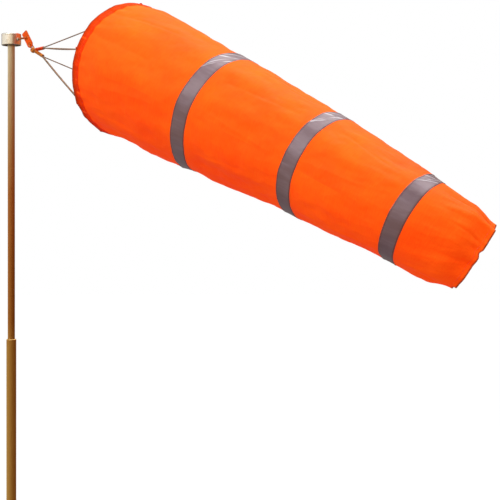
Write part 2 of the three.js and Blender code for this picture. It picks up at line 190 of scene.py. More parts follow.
def frames_along(path, closed=False):
    """Two unit vectors square to the path at each point, carried along it without twisting."""
    if closed:
        tangents = unit(np.roll(path, -1, axis=0) - np.roll(path, 1, axis=0))
    else:
        tangents = unit(np.gradient(path, axis=0))
    first = np.cross(tangents[0], UP if abs(tangents[0] @ UP) < 0.9 else [1, 0, 0])
    sides = [unit(first)]
    for t in tangents[1:]:
        side = sides[-1] - (sides[-1] @ t) * t
        sides.append(unit(side))
    sides = np.array(sides)
    ups = np.cross(tangents, sides)
    if closed:
        last = sides[-1] - (sides[-1] @ tangents[0]) * tangents[0]
        slip = math.atan2(last @ ups[0], last @ sides[0])
        turn = -slip * np.arange(len(path)) / len(path)
        c, s = np.cos(turn)[:, None], np.sin(turn)[:, None]
        sides, ups = sides * c + ups * s, ups * c - sides * s
    return tangents, sides, ups


def tube(name, path, radius, material, sides=12, closed=False, section=None):
    """A tube along a path. section gives the radius as a share, from the angle and the distance along."""
    path = np.asarray(path, float)
    _, side, up = frames_along(path, closed)
    angle = round_angles(sides)
    share = np.ones((len(path), sides))
    if section is not None:
        along = np.concatenate([[0], np.cumsum(np.linalg.norm(np.diff(path, axis=0), axis=1))])
        share = section(angle[None, :], along[:, None])
    reach = (np.asarray(radius) * np.ones(len(path)))[:, None] * share
    ring = side[:, None] * np.cos(angle)[None, :, None] + up[:, None] * np.sin(angle)[None, :, None]
    points = (path[:, None] + ring * reach[..., None]).reshape(-1, 3)
    faces = [tuple(f) for f in grid_faces(len(path), sides, wrap_rows=closed)]
    if not closed:
        faces.append(tuple(range(sides))[::-1])
        faces.append(tuple(range((len(path) - 1) * sides, len(path) * sides)))
    return add_mesh(name, points, faces, material)


def strands(count, pitch, depth=0.16):
    """A rope's section: count strands that turn once in pitch."""
    def section(angle, along):
        return 1 - depth * (0.5 - 0.5 * np.cos(count * (angle - 2 * np.pi * along / pitch)))
    return section


CORD_LAY = strands(3, 7 * MM, 0.2)
KNOT_LAY = strands(3, 8 * MM, 0.18)
LACING_LAY = strands(3, 5 * MM, 0.2)


def lathe(name, profile, material, segments=96):
    """A solid of revolution about +Z, from (radius, height) pairs. It closes on the axis or on itself."""
    profile = np.asarray(profile, float)
    on_axis = [profile[0, 0] < 1e-9, profile[-1, 0] < 1e-9]
    body = profile[int(on_axis[0]):len(profile) - int(on_axis[1])]
    angle = round_angles(segments)
    points = np.stack([
        body[:, :1] * np.cos(angle), body[:, :1] * np.sin(angle), body[:, 1:] * np.ones(segments),
    ], axis=-1).reshape(-1, 3)
    faces = [tuple(f) for f in grid_faces(len(body), segments, wrap_rows=not any(on_axis))]
    for at_start, place in ((True, profile[0]), (False, profile[-1])):
        if not on_axis[0 if at_start else 1]:
            continue
        points = np.vstack([points, [0, 0, place[1]]])
        tip, row = len(points) - 1, (0 if at_start else (len(body) - 1) * segments)
        for i in range(segments):
            pair = (row + i, row + (i + 1) % segments)
            faces.append((*(pair[::-1] if at_start else pair), tip))
    return add_mesh(name, points, faces, material, sharp_above=35)


def round_corner(r, z, radius, start, end, steps=6):
    """(radius, height) pairs of an arc about (r, z), angles in degrees."""
    angle = np.radians(np.linspace(start, end, steps))
    return [(r + radius * math.cos(a), z + radius * math.sin(a)) for a in angle]


def merge(name, pieces, material):
    """One object from several, each mesh kept whole."""
    points, faces, flat, count = [], [], [], 0
    for piece in pieces:
        mesh = piece.data
        points += [tuple(piece.matrix_world @ v.co) for v in mesh.vertices]
        faces += [tuple(count + i for i in p.vertices) for p in mesh.polygons]
        flat += [p.use_smooth for p in mesh.polygons]
        count = len(points)
        bpy.data.objects.remove(piece)
    made = add_mesh(name, points, faces, material)
    made.data.polygons.foreach_set("use_smooth", flat)
    return made


def finish_piece(piece, slot, body=None, *replaced):
    """Attach a piece to the body that it rides, and hide the CAD nodes that it stands for. slot is not used.
    """
    if body:
        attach(piece, body)
    if replaced:
        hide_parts(*replaced)


# ---------------------------------------------------------------- materials

class Nodes:
    """A short way to write a material's node tree."""

    def __init__(self, name):
        self.material = bpy.data.materials.new(name)
        self.material.use_nodes = True
        self.tree = self.material.node_tree
        self.shader = self.tree.nodes["Principled BSDF"]

    def add(self, kind, links=None, **settings):
        """A new node, with its inputs linked or set from links."""
        node = self.tree.nodes.new("ShaderNode" + kind)
        for key, value in settings.items():
            setattr(node, key, value)
        for socket, value in (links or {}).items():
            self.set(node, socket, value)
        return node

    def set(self, node, socket, value):
        if isinstance(value, bpy.types.NodeSocket):
            self.tree.links.new(value, node.inputs[socket])
        else:
            node.inputs[socket].default_value = value

    def plain(self, **values):
        """Set the shader's own sockets, with _ for each space in a name."""
        for socket, value in values.items():
            self.set(self.shader, socket.replace("_", " "), value)

    def object_place(self, scale=(1, 1, 1)):
        """The piece's own coordinates, so that a pattern stays with a piece that moves."""
        place = self.add("TexCoord").outputs["Object"]
        return self.add("Mapping", {"Vector": place, "Scale": scale}).outputs["Vector"]

    def uv_place(self, scale=(1, 1, 1)):
        """Metres across and along the cloth."""
        place = self.add("UVMap", uv_map="cloth").outputs["UV"]
        return self.add("Mapping", {"Vector": place, "Scale": scale}).outputs["Vector"]

    def painted(self, name):
        """A value painted on the piece's points. It is 0 on a piece that lacks it."""
        return self.add("Attribute", attribute_name=name).outputs["Fac"]

    def noise(self, place, scale, detail=3.0, roughness=0.55):
        links = {"Vector": place, "Scale": scale, "Detail": detail, "Roughness": roughness}
        return self.add("TexNoise", links).outputs["Fac"]

    def wave(self, place, scale, direction="X", distortion=0.0):
        links = {"Vector": place, "Scale": scale, "Distortion": distortion}
        return self.add("TexWave", links, bands_direction=direction).outputs["Fac"]

    def math(self, operation, a, b):
        return self.add("Math", {0: a, 1: b}, operation=operation).outputs[0]

    def span(self, value, low, high, to_low=0.0, to_high=1.0):
        """The value, stretched from low and high to to_low and to_high."""
        links = {"Value": value, "From Min": low, "From Max": high, "To Min": to_low, "To Max": to_high}
        return self.add("MapRange", links).outputs["Result"]

    def ramp(self, value, *stops):
        """A colour ramp with these (place, colour) stops."""
        node = self.add("ValToRGB", {"Fac": value})
        elements = node.color_ramp.elements
        while len(elements) < len(stops):
            elements.new(0.5)
        for element, (place, colour) in zip(elements, stops):
            element.position = place
            element.color = (*colour, 1)
        return node.outputs["Color"]

    def mix(self, share, a, b, blend="MIX"):
        """Colour a, with this share of b over it."""
        node = self.add("Mix", data_type="RGBA", blend_type=blend)
        for socket, value in ((0, share), (6, a), (7, b)):
            if not isinstance(value, bpy.types.NodeSocket) and socket:
                value = (*value, 1)
            self.set(node, socket, value)
        return node.outputs[2]

    def bump(self, height, distance, strength=1.0, under=None):
        links = {"Height": height, "Distance": distance, "Strength": strength}
        if under is not None:
            links["Normal"] = under
        return self.add("Bump", links).outputs["Normal"]


def cloth_material(name, light, deep, glow, gloss=0.16):
    """Orange ripstop: a fine plain weave with a heavier thread every 5 mm, and slow changes of shade.

    glow is light that the cloth gives out: partly the fluorescent dye's own light, partly painted light for
    the light that comes through the thin cloth."""
    m = Nodes(name)
    metres = m.uv_place()
    weave = m.math("MULTIPLY", m.wave(metres, 390.0, "X"), m.wave(metres, 390.0, "Y"))
    rip_u = m.span(m.wave(metres, 31.0, "X"), 0.965, 1.0)
    rip_v = m.span(m.wave(metres, 31.0, "Y"), 0.965, 1.0)
    rip = m.math("MAXIMUM", rip_u, rip_v)
    cloud = m.noise(metres, 9.0, 4.0, 0.6)
    slub = m.noise(m.uv_place((1, 9, 1)), 60.0, 2.0)
    shade = m.math("ADD", m.span(cloud, 0.3, 0.7, 0.0, 0.7), m.span(slub, 0.3, 0.7, 0.0, 0.3))
    colour = m.ramp(shade, (0.0, deep), (1.0, light))
    colour = m.mix(m.math("MULTIPLY", rip, 0.16), colour, deep)
    # Painted shade: patchy dark brown where the painted_shade attribute is set, with no glow there.
    painted_shade = m.math("MULTIPLY", m.painted("painted_shade"), m.span(cloud, 0.2, 0.6, 0.55, 1.0))
    m.plain(Base_Color=m.mix(painted_shade, colour, (0.16, 0.045, 0.010)))
    m.plain(Roughness=m.span(cloud, 0.3, 0.7, 0.62, 0.76))
    m.plain(Specular_IOR_Level=gloss, Specular_Tint=(1.0, 0.7, 0.45, 1))
    # Painted light, in part: the glow. Painted shade puts it out.
    m.plain(Emission_Color=m.mix(painted_shade, glow, (0.0, 0.0, 0.0)), Emission_Strength=1.0)
    soft = m.bump(m.noise(metres, 26.0, 3.0), 0.0012, 0.35)
    threads = m.bump(m.math("ADD", m.math("MULTIPLY", weave, 0.5), rip), 0.00012, 0.5, under=soft)
    m.plain(Normal=threads)
    return m.material


def tape_material():
    """Grey retroreflective tape: silver beads over grey, with fine hexagon-like cells and streaks, a painted
    highlight along its creases and painted shade along its edges.
    """
    m = Nodes("reflective_tape")
    metres = m.uv_place()
    voronoi = m.add("TexVoronoi", {"Vector": metres, "Scale": 420.0}, feature="DISTANCE_TO_EDGE")
    cells = voronoi.outputs["Distance"]
    streaks = m.noise(m.uv_place((1, 0.12, 1)), 70.0, 4.0, 0.6)
    cloud = m.noise(metres, 14.0, 3.0)
    shade = m.math("ADD", m.span(streaks, 0.3, 0.7, 0.0, 0.55), m.span(cloud, 0.3, 0.7, 0.0, 0.45))
    # The pink in the grey is partly painted light: orange light bounced from the cloth.
    colour = m.ramp(shade, (0.0, (0.160, 0.100, 0.108)), (0.55, (0.205, 0.138, 0.158)),
                    (1.0, (0.27, 0.205, 0.24)))
    # Painted highlight: near white along the creases.
    colour = m.mix(m.painted("painted_highlight"), colour, (0.80, 0.76, 0.80))
    # Painted shade: dark reddish brown along the edges.
    colour = m.mix(m.painted("edge"), colour, (0.15, 0.045, 0.025))
    m.plain(Base_Color=colour, Roughness=m.span(streaks, 0.3, 0.7, 0.34, 0.50))
    m.plain(Metallic=0.15, Specular_IOR_Level=0.45, Coat_Weight=0.10, Coat_Roughness=0.25)
    # Painted light: a faint reddish glow.
    m.plain(Emission_Color=(0.020, 0.005, 0.008, 1), Emission_Strength=1.0)
    beads = m.bump(m.span(cells, 0.0, 0.35), 0.0002, 0.3)
    m.plain(Normal=m.bump(streaks, 0.0006, 0.25, under=beads))
    return m.material


def thread_material(name, colour):
    """Sewing thread, with its twist."""
    m = Nodes(name)
    place = m.object_place()
    twist = m.wave(place, 900.0, "DIAGONAL")
    shade = m.ramp(m.noise(place, 160.0), (0.3, tuple(c * 0.7 for c in colour)), (0.7, colour))
    m.plain(Base_Color=shade, Roughness=0.6, Sheen_Weight=0.3)
    m.plain(Normal=m.bump(twist, 0.0001, 0.5))
    return m.material


def webbing_material():
    """Woven strap: a close herringbone, with painted shade along its edges and a faint painted orange glow.
    """
    m = Nodes("orange_webbing")
    place = m.uv_place()
    ribs = m.wave(place, 260.0, "X", distortion=0.6)
    rows = m.wave(place, 190.0, "Y")
    weave = m.math("MULTIPLY", ribs, rows)
    fuzz = m.noise(place, 420.0, 3.0)
    colour = m.ramp(weave, (0.0, (0.66, 0.075, 0.004)), (0.6, (0.96, 0.140, 0.008)),
                    (1.0, (1.0, 0.190, 0.014)))
    colour = m.mix(m.span(fuzz, 0.45, 0.75, 0.0, 0.35), colour, (1.0, 0.20, 0.03))
    # Painted shade: dark brown where the painted_shade attribute is set.
    colour = m.mix(m.math("MULTIPLY", m.painted("painted_shade"), 0.85), colour, (0.24, 0.105, 0.020))
    m.plain(Base_Color=colour, Roughness=0.8, Specular_IOR_Level=0.1)
    m.plain(Sheen_Weight=0.05, Sheen_Roughness=0.4)
    # Painted light: a faint orange glow.
    m.plain(Emission_Color=(0.30, 0.014, 0.0, 1), Emission_Strength=1.0)
    m.plain(Normal=m.bump(m.math("ADD", weave, m.math("MULTIPLY", fuzz, 0.4)), 0.0004, 0.8))
    return m.material


def cord_material(name, light, dark, stain):
    """Twisted polyester cord: fine fibres along the lay, and rust-orange dust from the cloth."""
    m = Nodes(name)
    place = m.object_place()
    fibres = m.noise(place, 1500.0, 2.0)
    blotch = m.noise(place, 45.0, 4.0, 0.6)
    colour = m.ramp(m.math("ADD", m.math("MULTIPLY", fibres, 0.6), m.math("MULTIPLY", blotch, 0.4)),
                    (0.32, dark), (0.62, light))
    colour = m.mix(m.span(blotch, 0.50, 0.72, 0.0, 0.75), colour, stain)
    m.plain(Base_Color=colour, Roughness=0.85, Specular_IOR_Level=0.2)
    m.plain(Sheen_Weight=0.08, Sheen_Roughness=0.4)
    m.plain(Normal=m.bump(fibres, 0.00025, 0.5))
    return m.material


def lacquered_steel():
    """Drawn steel tube under golden lacquer: lines along the tube, faint rings, thin spots and specks.

    By its height at rest, the colour is golden on the lower tube, deepest low on the upper one, and pale near
    the head; the deep and the pale parts are painted shade and painted reflection."""
    m = Nodes("golden_lacquered_steel")
    along = m.noise(m.object_place((1, 1, 0.02)), 900.0, 3.0, 0.6)
    cloud = m.noise(m.object_place((1, 1, 0.35)), 22.0, 4.0, 0.6)
    rings = m.noise(m.object_place((0.05, 0.05, 1)), 140.0, 2.0)
    specks = m.span(m.noise(m.object_place(), 330.0, 2.0), 0.70, 0.76)
    shade = m.math("ADD", m.math("MULTIPLY", along, 0.35), m.math("MULTIPLY", cloud, 0.65))
    height = m.add("SeparateXYZ", {"Vector": m.object_place()}).outputs["Z"]
    # Painted shade and painted reflection, by height.
    drift = m.math("ADD", m.span(height, 0.0, 1.6), m.span(cloud, 0.3, 0.7, -0.012, 0.012))
    colour = m.ramp(drift, (0.300, (0.74, 0.56, 0.26)), (0.495, (0.70, 0.49, 0.19)),
                    (0.515, (0.60, 0.31, 0.095)), (0.700, (0.60, 0.27, 0.090)),
                    (0.800, (0.65, 0.46, 0.25)), (0.900, (0.78, 0.71, 0.56)))
    tone = m.ramp(shade, (0.30, (0.80, 0.76, 0.70)), (0.50, (0.93, 0.92, 0.90)), (0.70, (1.0, 1.0, 1.0)))
    colour = m.mix(1.0, colour, tone, "MULTIPLY")
    colour = m.mix(m.math("MULTIPLY", specks, 0.6), colour, (0.26, 0.15, 0.06))
    m.plain(Base_Color=colour, Metallic=1.0)
    m.plain(Roughness=m.span(m.math("ADD", cloud, m.math("MULTIPLY", rings, 0.4)), 0.4, 1.0, 0.46, 0.56))
    m.plain(Anisotropic=0.88, Tangent=m.add("Tangent", direction_type="RADIAL", axis="Z").outputs["Tangent"])
    m.plain(Coat_Weight=0.12, Coat_Roughness=0.2, Coat_Tint=(1.0, 0.86, 0.62, 1))
    fine = m.bump(along, 0.00006, 0.35)
    m.plain(Normal=m.bump(rings, 0.0002, 0.12, under=fine))
    return m.material


def turned_steel(name, light, dark, low, high, lines=0.35):
    """Bright turned or plated steel: tool rings round the axis, soft stains and fine scratches."""
    m = Nodes(name)
    tool = m.noise(m.object_place((0.04, 0.04, 1)), 5200.0, 2.0)
    stain = m.noise(m.object_place(), 120.0, 4.0, 0.6)
    scratch = m.span(m.noise(m.object_place((0.15, 0.15, 3)), 800.0, 2.0), 0.62, 0.70)
    colour = m.ramp(stain, (0.30, dark), (0.65, light))
    m.plain(Base_Color=colour, Metallic=1.0)
    m.plain(Roughness=m.span(m.math("ADD", stain, m.math("MULTIPLY", scratch, 0.4)), 0.3, 1.0, low, high))
    m.plain(Normal=m.bump(m.math("ADD", tool, m.math("MULTIPLY", scratch, 0.5)), 0.00008, lines))
    return m.material


def rubber_material():
    """Matt black rubber, dusty in patches."""
    m = Nodes("black_rubber")
    grain = m.noise(m.object_place(), 1400.0, 4.0, 0.7)
    dust = m.noise(m.object_place(), 60.0, 5.0, 0.6)
    colour = m.ramp(dust, (0.40, (0.012, 0.012, 0.013)), (0.75, (0.075, 0.068, 0.060)))
    m.plain(Base_Color=colour, Roughness=m.span(dust, 0.3, 0.7, 0.55, 0.85))
    m.plain(Normal=m.bump(grain, 0.0002, 0.5))
    return m.material


def nylon_material():
    """Milky natural nylon, slightly translucent."""
    m = Nodes("natural_nylon")
    cloud = m.noise(m.object_place(), 120.0, 3.0)
    colour = m.ramp(cloud, (0.3, (0.66, 0.62, 0.52)), (0.7, (0.82, 0.79, 0.70)))
    m.plain(Base_Color=colour, Roughness=m.span(cloud, 0.3, 0.7, 0.38, 0.52))
    m.plain(Subsurface_Weight=0.2, Subsurface_Radius=(0.002, 0.002, 0.0015))
    m.plain(Normal=m.bump(m.noise(m.object_place(), 900.0), 0.0001, 0.3))
    return m.material


def floor_material():
    """The plain pale floor, as bright as the backdrop."""
    m = Nodes("pale_floor")
    cloud = m.noise(m.object_place(), 0.6, 3.0)
    colour = m.ramp(cloud, (0.3, (0.22, 0.22, 0.22)), (0.7, (0.25, 0.25, 0.25)))
    m.plain(Base_Color=colour, Roughness=0.9, Specular_IOR_Level=0.0)
    m.plain(Emission_Color=(1, 1, 1, 1), Emission_Strength=0.93)
    return m.material


def glowing(name, colour):
    """A card that only gives light."""
    m = Nodes(name)
    m.plain(Base_Color=(0, 0, 0, 1), Specular_IOR_Level=0.0, Roughness=1.0)
    m.plain(Emission_Color=(*colour, 1), Emission_Strength=1.0)
    return m.material


CLOTH = cloth_material("orange_cloth", (1.0, 0.195, 0.006), (0.98, 0.108, 0.002), (0.50, 0.003, 0.0))
# Painted shade: the inside is the same cloth, with darker colours and a fifth of the glow.
SHADED_CLOTH_INSIDE = cloth_material("orange_cloth_inside_shaded", (0.96, 0.150, 0.004), (0.86, 0.085, 0.002),
                              (0.10, 0.003, 0.0))
# Painted shade: the doubled hem is the same cloth, deeper and glowing less, for the light that its two layers
# keep out.
SHADED_HEM_CLOTH = cloth_material("orange_cloth_doubled_shaded", (0.96, 0.072, 0.001), (0.84, 0.042, 0.0),
                           (0.30, 0.002, 0.0), gloss=0.05)
TAPE = tape_material()
ORANGE_THREAD = thread_material("orange_thread", (0.85, 0.09, 0.01))
RUST_THREAD = thread_material("rust_thread", (0.30, 0.085, 0.030))
WEBBING = webbing_material()
CORD = cord_material("tan_cord", (0.36, 0.235, 0.150), (0.19, 0.105, 0.060), (0.36, 0.130, 0.055))
LACING = cord_material("orange_lacing", (0.90, 0.075, 0.006), (0.60, 0.035, 0.003), (0.80, 0.100, 0.010))
WHIPPING = cord_material("rust_cord", (0.96, 0.310, 0.045), (0.54, 0.155, 0.020), (0.80, 0.340, 0.055))
POLE = lacquered_steel()
BRIGHT = turned_steel("bright_turned_steel", (0.90, 0.88, 0.84), (0.76, 0.73, 0.68), 0.24, 0.40)
PLATED = turned_steel("zinc_plated_steel", (0.72, 0.71, 0.68), (0.56, 0.54, 0.50), 0.24, 0.42, 0.2)
RING = turned_steel("rusty_ring_steel", (0.52, 0.170, 0.045), (0.32, 0.085, 0.020), 0.42, 0.62, 0.2)
EYE = turned_steel("coppered_eye_steel", (0.60, 0.25, 0.11), (0.42, 0.15, 0.06), 0.36, 0.52, 0.2)
EYELET = turned_steel("orange_lacquered_eyelet", (0.80, 0.20, 0.04), (0.55, 0.12, 0.02), 0.30, 0.48, 0.2)
RUBBER = rubber_material()
NYLON = nylon_material()


# ---------------------------------------------------------------- the sock's shape

HOOP_CENTRE, HOOP_AXIS, HOOP_RADIUS = ring_of("mouth_hoop")
BAND_RINGS = [ring_of(f"reflective_band_{i}") for i in (1, 2, 3)]
TAIL_RING = ring_of("tail_hem")
HEM_HALF = 7 * MM  # half the tail hem's width
HOOP_WIRE = 2 * MM
CLOTH_THICK = 0.3 * MM
BAND_HALF = 17.5 * MM
ROUND = 288  # points round the sock
STEPS = 80  # points of the centre line, from each of its knots to the next


class CentreLine:
    """The line down the middle of the sock, by the distance from its mouth."""

    def __init__(self):
        tail_end = TAIL_RING[0] + TAIL_RING[1] * HEM_HALF
        knots = [HOOP_CENTRE, *(ring[0] for ring in BAND_RINGS), tail_end]
        chords = [b - a for a, b in zip(knots, knots[1:])]
        slopes = [unit(chords[0])]
        slopes += [unit(unit(a) + unit(b)) for a, b in zip(chords, chords[1:])]
        slopes.append(unit(TAIL_RING[1]))
        points = []
        for a, b, m, n in zip(knots, knots[1:], slopes, slopes[1:]):
            reach = np.linalg.norm(b - a)
            t = np.linspace(0, 1, STEPS, endpoint=False)[:, None]
            points.append(
                (2 * t**3 - 3 * t**2 + 1) * a + (t**3 - 2 * t**2 + t) * m * reach
                + (3 * t**2 - 2 * t**3) * b + (t**3 - t**2) * n * reach
            )
        self.points = np.vstack([*points, knots[-1:]])
        self.along = np.concatenate([[0], np.cumsum(np.linalg.norm(np.diff(self.points, axis=0), axis=1))])
        self.length = float(self.along[-1])
        self.bands = [float(self.along[STEPS * i]) for i in (1, 2, 3)]

    def at(self, s):
        """The line's points and directions. Past its ends it goes straight on."""
        inside = np.clip(s, 0, self.length)
        place = np.stack([np.interp(inside, self.along, self.points[:, k]) for k in range(3)], axis=-1)
        slopes = np.gradient(self.points, axis=0)
        slope = unit(np.stack([np.interp(inside, self.along, slopes[:, k]) for k in range(3)], axis=-1))
        return place + slope * (np.asarray(s) - inside)[..., None], slope


LINE = CentreLine()
LENGTH = LINE.length
BANDS = LINE.bands
CLOTH_RADII = [ring[2] - 0.8 * MM for ring in BAND_RINGS]
MOUTH_RADIUS = HOOP_RADIUS + HOOP_WIRE + 0.6 * MM
CONE = np.polyfit(BANDS, CLOTH_RADII, 1)  # the cloth's radius, by the distance from the mouth


def girth(s):
    """The length round the cone."""
    return 2 * np.pi * float(np.polyval(CONE, s))


def ripple(theta, s, terms):
    """A sum of waves round the sock that drift along it: (waves, share, phase, drift) each."""
    total = 0
    for waves, share, phase, drift in terms:
        total = total + share * np.sin(waves * theta + phase + drift * s)
    return total


def field(theta, s, scale, stretch, seed):
    """Smooth noise over the cloth that joins up round it. stretch lengthens it along the sock."""
    shape = np.broadcast(theta, s).shape
    theta, s = np.broadcast_to(theta, shape), np.broadcast_to(s, shape)
    x, y, z = np.cos(theta) * scale, np.sin(theta) * scale, s * scale / (0.115 * stretch) + seed
    flat = [noise.noise((a, b, c)) for a, b, c in zip(x.ravel(), y.ravel(), z.ravel())]
    return np.array(flat).reshape(shape)


def crease(theta, s, at, slope, width, depth, start, end):
    """One sharp fold that runs along the sock from start to end, turning by slope round it."""
    middle = at + slope * (s - (start + end) / 2)
    off = turn_between(theta, middle)
    fade = step(start, start + 0.25 * (end - start), s) * (1 - step(end - 0.3 * (end - start), end, s))
    return depth * fade * (np.exp(-np.abs(off) / width) - 0.55 * np.exp(-np.abs(off) / (2.6 * width)))


CREASES = [
    # at (degrees), slope, width, depth (mm), start, end
    (62, 0.8, 0.045, -2.6, 0.02, 0.20), (28, -0.5, 0.060, -2.2, 0.01, 0.17),
    (-8, 0.6, 0.055, 2.0, 0.03, 0.24), (-38, -0.9, 0.060, -2.6, 0.00, 0.20),
    (-62, 0.7, 0.050, 3.0, 0.00, 0.16), (-84, -0.6, 0.060, -3.4, 0.00, 0.18),
    (98, -0.5, 0.050, -2.2, 0.02, 0.22), (140, 0.6, 0.060, 2.2, 0.01, 0.20),
    (200, -0.8, 0.055, -2.6, 0.02, 0.21), (46, 0.9, 0.050, -2.0, 0.30, 0.50),
    (5, -0.7, 0.060, 1.8, 0.32, 0.50), (-30, 0.8, 0.050, -2.2, 0.31, 0.47),
    (-70, -0.5, 0.060, 2.2, 0.29, 0.49), (80, 0.4, 0.045, -1.8, 0.33, 0.52),
    (150, -0.6, 0.055, 2.0, 0.30, 0.50), (215, 0.7, 0.060, -2.4, 0.31, 0.52),
    (58, -1.0, 0.050, -2.0, 0.57, 0.74), (15, 0.8, 0.055, 1.7, 0.56, 0.72),
    (-45, -0.8, 0.060, -2.2, 0.57, 0.75), (-80, 0.6, 0.050, 2.0, 0.58, 0.73),
    (120, 0.5, 0.055, -2.0, 0.56, 0.74), (190, -0.7, 0.060, 2.2, 0.57, 0.73),
    (70, 0.8, 0.070, -3.0, 0.80, 0.93), (20, -0.9, 0.080, -3.4, 0.82, 0.93),
    (-25, 0.9, 0.080, 2.8, 0.81, 0.93), (-68, -0.8, 0.075, -4.2, 0.80, 0.93),
    (-100, 0.7, 0.070, 3.6, 0.82, 0.93), (130, 0.7, 0.080, -4.4, 0.80, 0.93),
    (175, -0.7, 0.080, 4.0, 0.81, 0.93), (215, 0.8, 0.080, -3.8, 0.80, 0.93),
]
BAND_CREASES = [
    # at (degrees), slope, width, depth (mm)
    (56, 0.6, 0.022, 1.3), (64, 0.9, 0.018, -1.0), (72, 0.3, 0.024, 0.9),
    (85, 0.7, 0.020, 0.8), (118, 0.2, 0.020, 1.0), (196, -0.2, 0.024, 1.1),
]
SEAM_AT = math.radians(-112)  # the long seam, underneath and at the back
SEAM_HALF = 4.5 * MM

# How far the cloth draws in from the cone, in mm, by the distance from the mouth in metres.
TOP_DRAWN = ((0, 0), (0.03, 0.8), (0.08, 1.5), (0.12, 3.2), (0.16, 4.0), (0.22, 2.2), (0.27, 1.0),
             (0.35, 1.2), (0.44, 2.4), (0.50, 1.2), (0.55, 0), (0.60, 2.2), (0.68, 4.4), (0.74, 4.0),
             (0.78, 6.0), (0.83, 9.2), (0.855, 6.0), (0.88, 0.2), (0.92, -1.0))
UNDER_DRAWN = ((0, 0), (0.015, 3.0), (0.035, 9.0), (0.06, 12.0), (0.09, 10.5), (0.12, 10.0), (0.15, 4.0),
               (0.20, 3.0), (0.26, 3.4), (0.33, 4.2), (0.42, 4.5), (0.50, 3.6), (0.55, 0), (0.62, 0.6),
               (0.71, 2.6), (0.80, 1.0), (0.84, -0.5), (0.865, -4.0), (0.885, -8.0), (0.92, -8.0))


def smooth_table(table):
    """A table of (distance, value) rounded off at its corners, as two arrays to interpolate."""
    spread = 0.012
    at = np.arange(-0.05, 1.0, 0.002)
    value = np.interp(at, *zip(*table))
    weight = np.exp(-0.5 * (np.arange(-0.04, 0.0401, 0.002) / spread) ** 2)
    return at, np.convolve(value, weight / weight.sum(), mode="same")


TOP_DRAW, UNDER_DRAW = smooth_table(TOP_DRAWN), smooth_table(UNDER_DRAWN)


def near_angle(theta, middle, half):
    """1 at the middle angle, falling to 0 at half either side of it. Both are in degrees."""
    return bump(0.0, math.radians(half), turn_between(theta, math.radians(middle)))


def cloth_radius(s, theta):
    """The cloth's distance from the centre line, with its folds.

    theta 0 is the near side, and 90 degrees the top. The hoop and the tapes hold the cloth to the cone."""
    gather = (np.polyval(CONE, 0.0) - MOUTH_RADIUS) * (1 - step(0.0, 0.07, s))
    base = np.polyval(CONE, s) - gather
    held = np.maximum.reduce([bump(0.0, 0.06, s), *(bump(b, 0.055, s) for b in BANDS)])
    free = 1 - 0.82 * held
    swell = sum(
        1.2 * MM * np.sin(np.pi * np.clip((s - a) / (b - a), 0, 1)) ** 1.2
        for a, b in zip([0.0, *BANDS], [*BANDS, LENGTH])
    )
    loose = step(0.006, 0.045, s)
    folds = 1.35 * MM * free * ripple(theta, s, [
        (5, 0.9, 0.4, 6.0), (8, 0.7, 2.1, -9.0), (13, 0.45, 4.0, 13.0), (19, 0.25, 1.2, -17.0),
    ])
    soft = sum(depth * MM * free * field(theta, s, scale, stretch, seed) for depth, scale, stretch, seed in (
        (2.4, 2.1, 1.7, 3.0), (1.7, 5.5, 1.5, 9.0), (0.55, 13.0, 1.4, 15.0)))
    lines = loose * sum(
        crease(theta, s, math.radians(at), slope, width, depth * MM, start, end)
        for at, slope, width, depth, start, end in CREASES
    )
    pucker = 0.8 * MM * bump(0.016, 0.035, s) * ripple(theta, s, [(41, 0.6, 0.3, 8.0), (29, 0.7, 1.9, -12.0)])
    under = bump(math.radians(-72), math.radians(55), turn_between(theta, 0.0))
    slack = 2.4 * MM * loose * under * bump(0.055, 0.045, s) * ripple(
        theta, s, [(11, 1.0, 0.8, 14.0), (17, 0.5, 2.2, -9.0)])
    tail = step(0.79, LENGTH, s)
    pinch = -(14.0 * step(LENGTH - 0.056, LENGTH - 0.004, s) + 2.5 * tail) * MM
    flap = 3.4 * MM * tail**2 * ripple(
        theta, s, [(3, 0.8, 1.0, 3.0), (7, 0.8, 0.4, 9.0), (12, 0.45, 2.6, -6.0)])
    seam = 0.5 * MM * (1 - step(0.8, 1.1, np.abs(turn_between(theta, SEAM_AT)) * base / SEAM_HALF))
    draw = (np.interp(s, *TOP_DRAW) * near_angle(theta, 100, 95)
            + np.interp(s, *UNDER_DRAW) * near_angle(theta, -76, 85))
    return base + swell + folds + soft + lines + pucker + slack + pinch + flap + seam - draw * MM


def ring_frames(s):
    """Centre, near side, up and forward at each distance from the mouth.

    The mouth follows the hoop, and the tail is cut aslant."""
    centre, slope = LINE.at(s)
    lean = step(0.0, 0.15, s)[..., None]
    forward = unit(HOOP_AXIS * (1 - lean) + slope * lean)
    slant = math.radians(15) * step(LENGTH - 0.11, LENGTH, s)[..., None]
    side = unit(np.cross(forward, UP))
    forward = unit(forward * np.cos(slant) - side * np.sin(slant))
    side = unit(np.cross(forward, UP))
    return centre, side, np.cross(side, forward), forward


def cloth_point(s, theta, lift=0.0):
    """Points on the cloth, lift above it."""
    s, theta = np.broadcast_arrays(np.asarray(s, float), np.asarray(theta, float))
    centre, side, up, forward = ring_frames(s)
    reach = cloth_radius(s, theta) + lift
    short = (9.8 - 5.0 * np.sin(theta)) * step(LENGTH - 0.11, LENGTH, s)
    notch = 3.5 * near_angle(theta, 4, 9) * step(LENGTH - 0.03, LENGTH, s)
    back = -(short + notch)[..., None] * MM * forward
    outward = side * np.cos(theta)[..., None] + up * np.sin(theta)[..., None]
    return centre + back + outward * reach[..., None]


def paint(piece, name, values):
    """Store one value for each point of the piece, for its material to read."""
    layer = piece.data.attributes.new(name, "FLOAT", "POINT")
    layer.data.foreach_set("value", np.asarray(values, np.float32).ravel())


